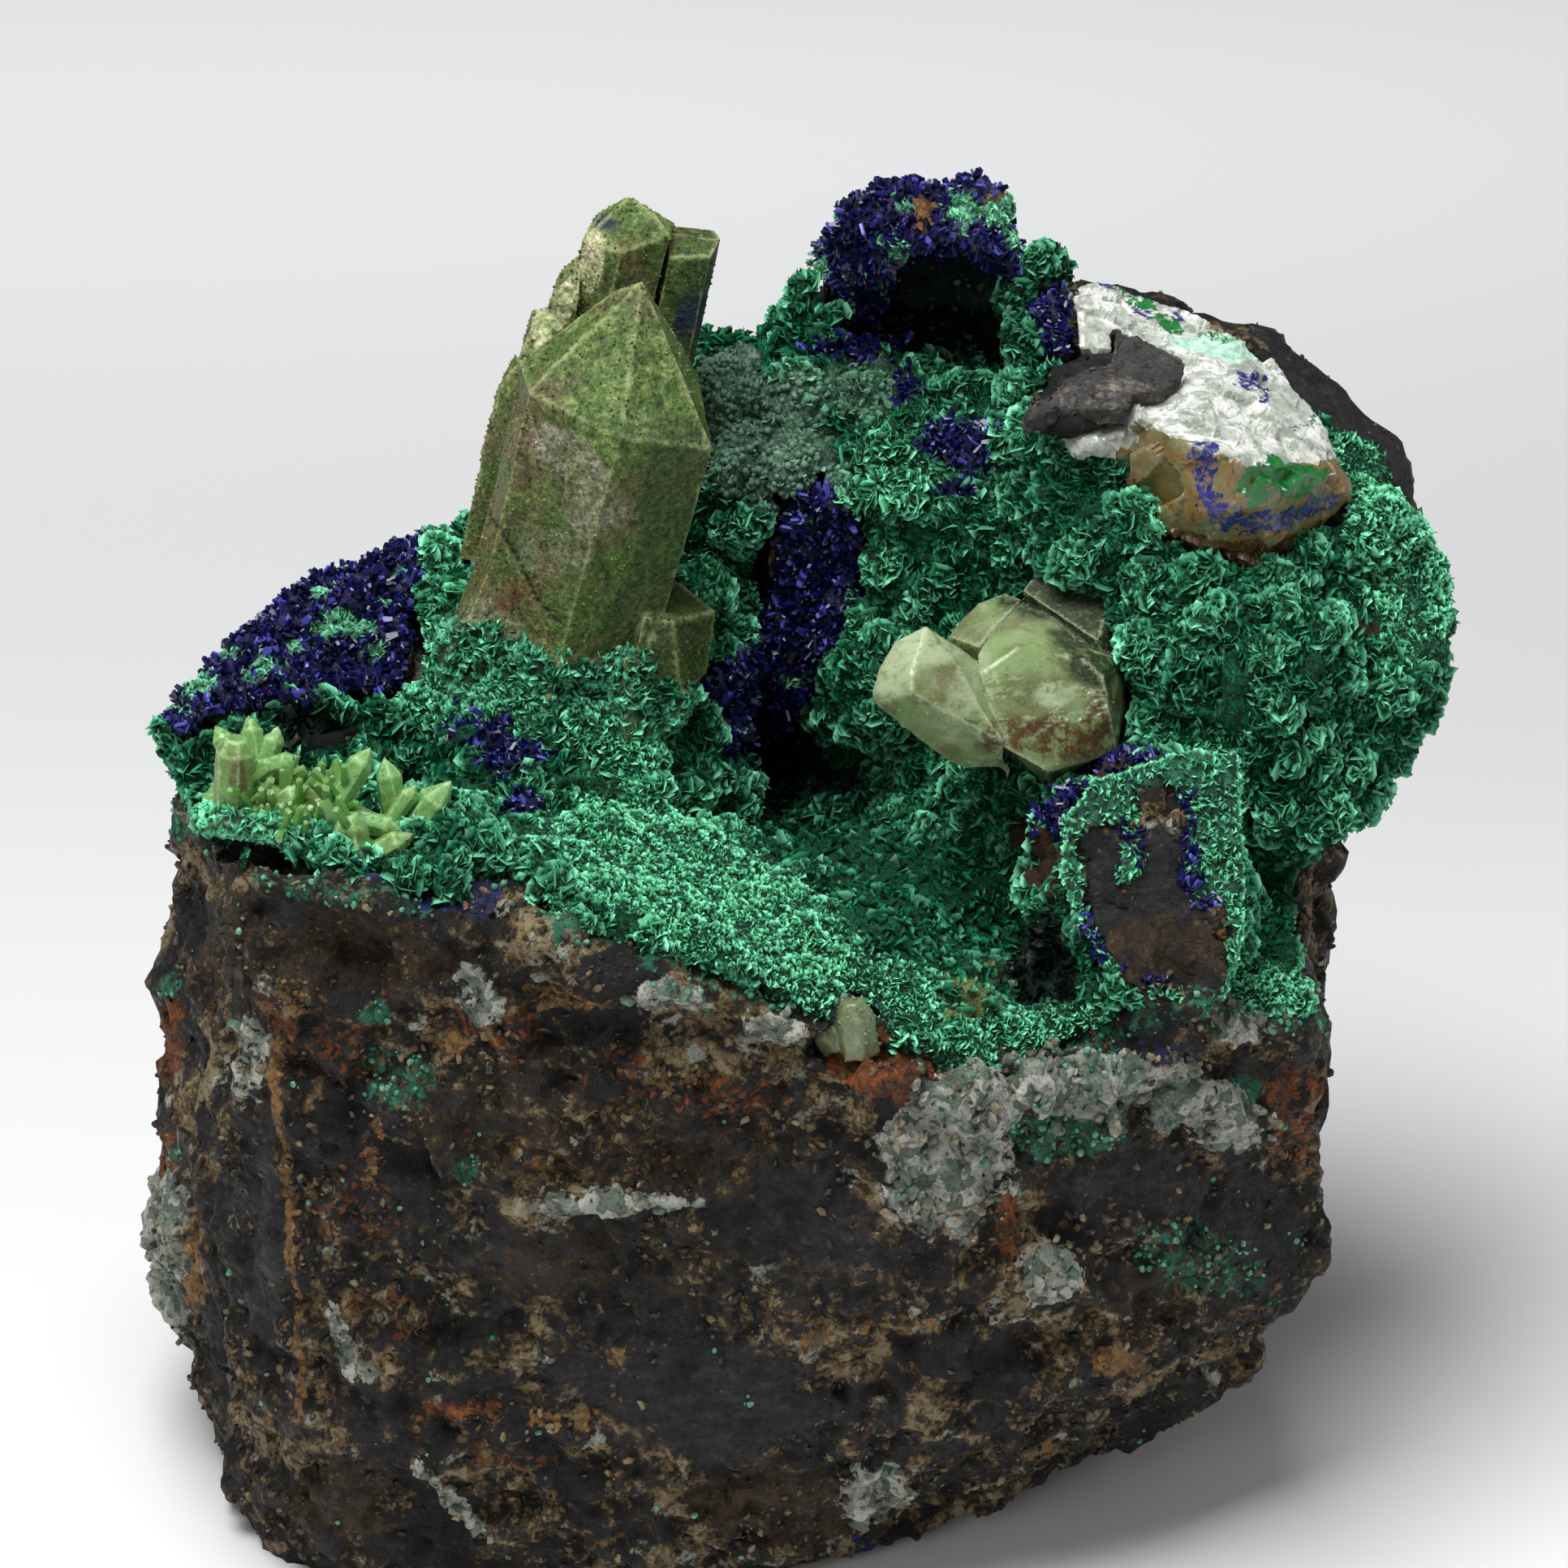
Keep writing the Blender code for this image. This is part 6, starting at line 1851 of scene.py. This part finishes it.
@dataclass
class QuartzPiece:
    """A quartz node rebuilt with worn edges, a grown skin, and baked stains and painted shade."""

    node: str
    name: str
    slot: str
    finish: object
    voxel: float = 0.12
    worn: bool = True
    skin: float = 0.04
    skin_size: float = 0.35
    warp: float = 0.08
    swell: float = 0.0
    fingers: float = 0.0
    druse: float = 0.0
    druse_size: tuple = (0.27, 0.20, 0.20)
    facet: float = 0.0
    facet_size: float = 1.4
    stains: dict = field(default_factory=dict)
    zones: dict = field(default_factory=dict)
    cracks: tuple = ()
    crisp: float = 0.0
    crack_width: float = 5.0
    crack_depth: float = 0.16
    nudges: tuple = ()
    crust_tone: float = 0.45
    foot_lump: float = 0.75
    to_rim: float = 0.0
    blade_density: float = 20.0
    blade_size: tuple = (0.66, 0.06, 0.48)

    def build(self, frame: dict) -> Piece:
        """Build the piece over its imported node, and return it."""
        piece = copy_of(frame["nodes"][self.node], self.name)
        if self.crisp:
            split_long(piece, self.crisp)
        else:
            refine(piece, self.voxel)
            triangulate(piece)
            if self.worn:
                soften(piece, 0.5)
        points, normals = points_of(piece), normals_of(piece)
        carrier = Carrier(piece)
        seen = VIEW.picture(points)
        for x, y, reach, right, up in self.nudges:
            near = np.exp(-((seen - (x, y)) ** 2).sum(axis=1) / reach**2)
            points += near[:, None] * (VIEW.axes()[0] * right + VIEW.axes()[1] * up)
        if self.to_rim:
            low = np.clip(below_rim(points, 4.0) + 6.0, 0, 100) * VIEW.step * self.to_rim
            points += low[:, None] * (VIEW.axes()[1] + VIEW.axes()[2] * 0.5)
        shares = {label: carrier.lay(points, patches, 0.25) for label, patches in self.stains.items()}
        for label, zones in self.zones.items():
            cover = carrier.fill(points, zones, 9.0)
            shares[label] = np.maximum(shares.get(label, cover), cover)
        crack = self.crack_share(points, carrier)
        rise = wave(points, self.skin_size, 2) * self.skin + wave(points, 2.4, 2) * self.warp + self.swell
        if self.facet:
            _, _, middle = cells(points + wave(points, 2.0)[:, None] * 0.3, self.facet_size, 6.1)
            rise += facets(points, middle, 2.5) * 3 / self.facet_size * self.facet
            rise += (hashed(middle, 7.5) - 0.5) * self.facet
        foot = shares.get("foot", np.zeros(len(points)))
        lump, beside, _ = cells(points, 1.6, 2.9)
        rise += foot * (0.15 + self.foot_lump * np.sqrt(np.clip((beside - lump) / 0.6, 0, 1)))
        rough = shares.get("frost", np.zeros(len(points)))
        rise += np.abs(wave(points, self.skin_size * 1.4, 2, 3.0)) * self.skin * 1.5 * rough
        move_points(piece, points + normals * (rise - crack * self.crack_depth)[:, None])
        shares["crack"] = crack
        for label, values in shares.items():
            set_share(piece, label, values)
        finish = self.finish.make()
        settle(piece, finish, True, self.slot, self.node)
        if self.crisp or self.facet:
            piece.data.set_sharp_from_angle(angle=SHARP)
        rng = np.random.default_rng(len(self.name))
        if self.druse:
            self.plant_druse(piece, shares, finish, rng)
        if self.fingers:
            self.plant_fingers(piece, shares["stand"], finish, rng)
        if foot.any():
            size = len(points)
            tone = np.clip(self.crust_tone + 0.5 * wave(points, 1.6, 2), 0, 1)
            spread = {"tone": tone, "pale": np.zeros(size), "dark": np.zeros(size), "bright": np.full(size, 0.35)}
            grow_blades(self.name + "_blades", Seed.FLAKE, Ground(piece, spread), foot * self.blade_density,
                        self.blade_size, 0.3, 1, MalachiteFinish().blades(), rng)
        return piece

    def plant_fingers(self, piece: Piece, foot: Rows, finish: Material, rng: Chance) -> None:
        """Stand short blunt crystals between the large ones.

        Args:
            piece: the piece.
            foot: share of the place where they stand, at each corner.
            finish: its material.
            rng: source of chance.
        """
        places, normals, _ = Ground(piece).sow(foot * self.fingers, rng)
        count = len(places)
        way = unit(normals + (0.0, -0.3, 0.9) + stray(rng, (count, 3), 1.6))
        size = (0.6 + 0.8 * rng.random(count))[:, None] * np.array((1.15, 0.42, 0.42))
        made = grow(self.name + "_fingers", Seed.PRISM, places + way * (size[:, 0] * 0.3)[:, None], way,
                    unit(stray(rng, (count, 3))), size, np.zeros(count), {"fleck": rng.random(count)}, 0.2, rng)
        settle(made, finish, False, self.slot)

    def plant_druse(self, piece: Piece, shares: dict, finish: Material, rng: Chance) -> None:
        """Cover a piece with tiny crystals that carry its own stains and painted shade.

        Args:
            piece: the piece.
            shares: its stains and painted shade at each corner.
            finish: its material.
            rng: source of chance.
        """
        points = points_of(piece)
        clump = np.clip(0.55 + wave(points, 1.5, 3, 3.3) * 1.3, 0.05, 1)
        keep = 1 - shares.get("foot", np.zeros(len(points)))
        places, normals, carry = Ground(piece).sow(clump * keep * self.druse, rng)
        count = len(places)
        size = (0.5 + 0.9 * rng.random(count) ** 2)[:, None] * np.array(self.druse_size)
        carried = {label: carry(values) for label, values in shares.items()}
        made = grow(self.name + "_druse", Seed.SPECK, places, unit(normals + rng.random((count, 3)) - 0.5),
                    unit(stray(rng, (count, 3))), size, np.zeros(count),
                    {**carried, "fleck": rng.random(count)}, 0.2, rng)
        settle(made, finish, False, self.slot)

    def crack_share(self, points: Rows, carrier: Carrier) -> Rows:
        """Return how near each point is to a crack, from 0 to 1."""
        share = np.zeros(len(points))
        seen = VIEW.picture(points)
        for line in self.cracks:
            for start, end in zip(line, line[1:]):
                middle = carrier.meet((start[0] + end[0]) / 2, (start[1] + end[1]) / 2)
                if middle is None:
                    continue
                depth = np.abs((points - np.array(middle)) @ VIEW.axes()[2])
                near = np.clip(1 - far_from_line(seen, start, end) / self.crack_width, 0, 1)
                share = np.maximum(share, near * (depth < 3.0))
        return share


def quartz_pieces() -> list:
    """Return the quartz pieces with their finishes, stains, painted shade and cracks."""
    return [
        QuartzPiece(
            "quartz_points", "large_quartz", "olive_quartz", DrusyFinish("olive_quartz_finish"),
            skin=0.03, warp=0.03, druse=13.0, druse_size=(0.20, 0.15, 0.15), crisp=0.42,
            nudges=((598, 500, 46, 0.40, 0.0), (585, 590, 56, 0.45, 0.0), (570, 690, 60, 0.45, 0.0)),
            zones={"foot": (Zone(((500, 765), (572, 769), (612, 769), (641, 783), (684, 805), (749, 812), (775, 800),
                                  (792, 800), (810, 845), (880, 850), (920, 840), (920, 980), (500, 980))),),
                   # The dark zones are painted shade on the right faces of the crystal.
                   "dark": (Zone(((838, 282), (892, 288), (886, 450), (846, 440)), 0.9),
                            Zone(((842, 540), (880, 500), (856, 667), (806, 840), (730, 806), (772, 700),
                                  (814, 620)), 0.85))},
            stains={
                "green": patches((790, 480, 95, 90), (780, 270, 50, 40), (855, 350, 40, 55),
                                 (700, 420, 60, 50, 0, 0.7)),
                "grey": patches((690, 555, 60, 26, 32), (730, 620, 36, 50, -15, 0.7),
                                (600, 770, 40, 40, 0, 0.6), (680, 680, 50, 26, 0, 0.5)),
                "rust": patches((640, 520, 26, 50, 10, 0.8), (635, 738, 26, 22), (780, 310, 20, 20),
                                (850, 760, 30, 60, 0, 0.5), (600, 660, 16, 70, 8, 0.6)),
                # The dark patches are painted shade on the right side of the crystal.
                "dark": patches((830, 620, 36, 110), (860, 400, 30, 60), (835, 780, 60, 80, 0, 0.9)),
                "cream": patches((728, 325, 15, 44, 15), (695, 375, 14, 34, 20), (668, 405, 12, 30)),
                "navy": patches((860, 392, 26, 30), (745, 275, 14, 10)),
                "frost": patches((770, 430, 120, 120), (780, 270, 50, 40)),
            },
            cracks=(((600, 632), (636, 686), (662, 740), (690, 769)),),
        ),
        QuartzPiece(
            "side_quartz_pair", "side_quartz", "green_quartz",
            JadeFinish("green_quartz_finish"), skin=0.02, warp=0.04, druse=4.0,
            druse_size=(0.13, 0.11, 0.11), crisp=0.35, nudges=((1212, 968, 26, 0.9, 0.8),),
            stains={
                "pale": patches((1140, 790, 60, 30), (1100, 820, 20, 40), (1300, 858, 24, 14),
                                (1190, 850, 20, 60, 20, 0.6)),
                "rust": patches((1300, 910, 90, 26, 0), (1240, 940, 60, 20), (1360, 880, 20, 26)),
                "dark": patches((1360, 780, 60, 60), (1300, 740, 70, 26)),
                "frost": patches((1340, 740, 90, 60), (1250, 770, 80, 24, -20)),
            },
            cracks=(((1262, 739), (1304, 763), (1334, 792)),),
        ),
        QuartzPiece(
            "small_quartz_spray", "quartz_spray", "spray_quartz",
            JadeFinish("spray_quartz_finish", clear=(0.16, 0.40, 0.10), tan=(0.18, 0.26, 0.05),
                       pale=(0.36, 0.60, 0.26), depth=0.8, clarity=0.2),
            skin=0.04, warp=0.04, swell=0.05, druse=8.0, druse_size=(0.13, 0.10, 0.10), fingers=1.8,
            crisp=0.26, crust_tone=0.85, foot_lump=0.3, to_rim=0.85,
            zones={"foot": (Zone(((200, 985), (300, 1003), (345, 1012), (405, 1028), (430, 1038),
                                  (480, 1060), (480, 1120), (200, 1100))),),
                   "stand": (Zone(((290, 965), (345, 945), (425, 955), (435, 1010), (380, 1030), (300, 1008))),)},
            stains={"rust": patches((292, 960, 9, 26, 0, 0.9),),
                    "frost": patches((400, 980, 160, 90),)},
        ),
        QuartzPiece(
            "white_quartz_vein", "white_quartz", "white_quartz", MilkFinish(), 0.17, False,
            skin=0.05, skin_size=0.7, warp=0.18, facet=0.30, facet_size=2.0,
            zones={
                "amber": (Zone(((1380, 520), (1464, 540), (1500, 558), (1536, 576), (1590, 567), (1660, 572),
                                (1675, 640), (1640, 720), (1480, 730), (1390, 680), (1370, 585))),),
                "brown": (Zone(((1400, 635), (1464, 650), (1554, 668), (1626, 648), (1665, 621), (1670, 680),
                                (1590, 730), (1500, 730), (1420, 690))),),
                "blue": (Zone(((1464, 549), (1500, 540), (1500, 603), (1536, 630), (1590, 630), (1644, 603),
                               (1652, 621), (1590, 652), (1527, 660), (1478, 630))),
                         Zone(((1518, 456), (1556, 464), (1584, 492), (1563, 498), (1525, 482)))),
                "green": (Zone(((1520, 604), (1534, 572), (1581, 560), (1632, 578), (1638, 596), (1599, 612),
                                (1545, 624))),),
            },
            stains={
                "blue": patches((1370, 352, 16, 7, 20), (1410, 382, 18, 7, 30), (1450, 395, 16, 8, 30),
                                (1600, 520, 11, 26, -25, 0.8), (1395, 350, 22, 6, 25, 0.7)),
                "green": patches((1400, 365, 32, 9, 30, 0.9), (1440, 400, 26, 9, 30, 0.9),
                                 (1500, 415, 28, 9, 10, 0.8), (1612, 500, 10, 30, -20, 0.8)),
                "mint": patches((1500, 430, 60, 14, 10), (1400, 350, 60, 18, 20), (1610, 470, 20, 50, -20)),
                "grey": patches((1345, 540, 50, 26), (1345, 415, 26, 26), (1590, 500, 26, 22, 30, 0.8),
                                (1400, 405, 40, 14, 30, 0.7), (1480, 470, 40, 10, 20, 0.5)),
            },
        ),
        QuartzPiece(
            "rim_quartz", "rim_crystals", "rim_quartz",
            JadeFinish("rim_quartz_finish", clear=(0.20, 0.27, 0.12), tan=(0.22, 0.18, 0.09)),
            druse=8.0, druse_size=(0.24, 0.18, 0.18), skin=0.03, warp=0.05,
        ),
    ]


# Studio


@dataclass
class Studio:
    """A flat pale floor, and soft light from above."""

    floor_size: float = 6.0
    aim: tuple = (0.0, 0.0, 0.035)
    glow: tuple = (0.9, 0.93, 1.0, 1.0)
    glow_strength: float = 0.15
    lights: tuple = (
        ("top_light", (-0.08, -0.06, 0.42), 0.26, 2.3),
        ("front_light", (-0.20, -0.50, 0.30), 0.30, 0.5),
        ("side_light", (0.45, -0.10, 0.25), 0.25, 0.25),
    )

    def build(self) -> None:
        """Add the floor, the lights and the surrounding glow."""
        work = bmesh.new()
        bmesh.ops.create_grid(work, x_segments=2, y_segments=2, size=self.floor_size / 2)
        mesh = bpy.data.meshes.new("studio_floor")
        work.to_mesh(mesh)
        work.free()
        floor = add_object("studio_floor", mesh)
        g = Graph("studio_floor_finish")
        parts = g.tree.nodes.new("ShaderNodeSeparateXYZ")
        g.link(g.coords, parts.inputs["Vector"])
        # Painted shade: the floor darkens from the front to a band behind the stone, and turns pale again beyond it.
        near = g.plus(g.span(parts.outputs["Y"], -0.10, 0.16, 1.0, 0.0), g.times(g.noise(40.0), 0.02))
        pale = g.mix(near, (0.60, 0.60, 0.60), (0.90, 0.90, 0.90))
        g.set(Base_Color=g.mix(g.span(parts.outputs["Y"], 0.07, 0.22), pale, (0.94, 0.94, 0.94)), Roughness=0.7,
              Specular_IOR_Level=0.2)
        dress(floor, g.material, True)
        for row in self.lights:
            self.light(*row)
        world = bpy.data.worlds.new("studio_glow")
        bpy.context.scene.world = world
        world.use_nodes = True
        glow = world.node_tree.nodes["Background"].inputs
        glow["Color"].default_value = self.glow
        glow["Strength"].default_value = self.glow_strength
        bpy.context.scene.view_settings.view_transform = "Standard"

    def light(self, name: str, place: tuple, size: float, power: float) -> None:
        """Add one soft light that looks at the stone.

        Args:
            name: its name.
            place: where it stands, in metres.
            size: its width in metres.
            power: its power in watts.
        """
        data = bpy.data.lights.new(name, "AREA")
        data.energy = power
        data.size = size
        lamp = add_object(name, data)
        lamp.location = place
        lamp.rotation_mode = "QUATERNION"
        aim = Vector(self.aim) - Vector(place)
        lamp.rotation_quaternion = aim.to_track_quat("-Z", "Y")


def main() -> None:
    """Build the specimen and its studio."""
    logging.basicConfig(level=logging.INFO, format="%(name)s %(message)s")
    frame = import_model()
    VIEW.add_camera()
    Studio().build()
    nodes = frame["nodes"]
    rock = carrier_of(nodes["matrix_rock"])
    blocks = plates()
    for block in blocks:
        block.place(rock)
    azurite = AzuriteCrusts()
    covers = [carrier_of(nodes[name]).tree for name in ("malachite_crust", *azurite.nodes)]
    MatrixRock().build(frame, covers[0], covers)
    crust = MalachiteCrust()
    velvet = crust.build(frame, rock.tree, blocks)
    crust.plant(velvet)
    fin, _ = (block.build() for block in blocks)
    green = blocks[0].shares["green"]
    spread = {"tone": green * 0.75, "pale": green * 0, "dark": green * 0, "bright": green * 0.6}
    grow_blades("fin_blades", Seed.FLAKE, Ground(fin, spread), green * FIN_DENSITY, FIN_BLADE, 0.25, 1,
                MalachiteFinish().blades(), np.random.default_rng(FIN_CHANCE))
    patched = [(velvet, crust.shares["blue"]), (fin, blocks[0].shares["blue"])]
    azurite.plant(azurite.build(frame, rock.tree), patched)
    for quartz in quartz_pieces():
        quartz.build(frame)


if __name__ == "__main__":
    main()
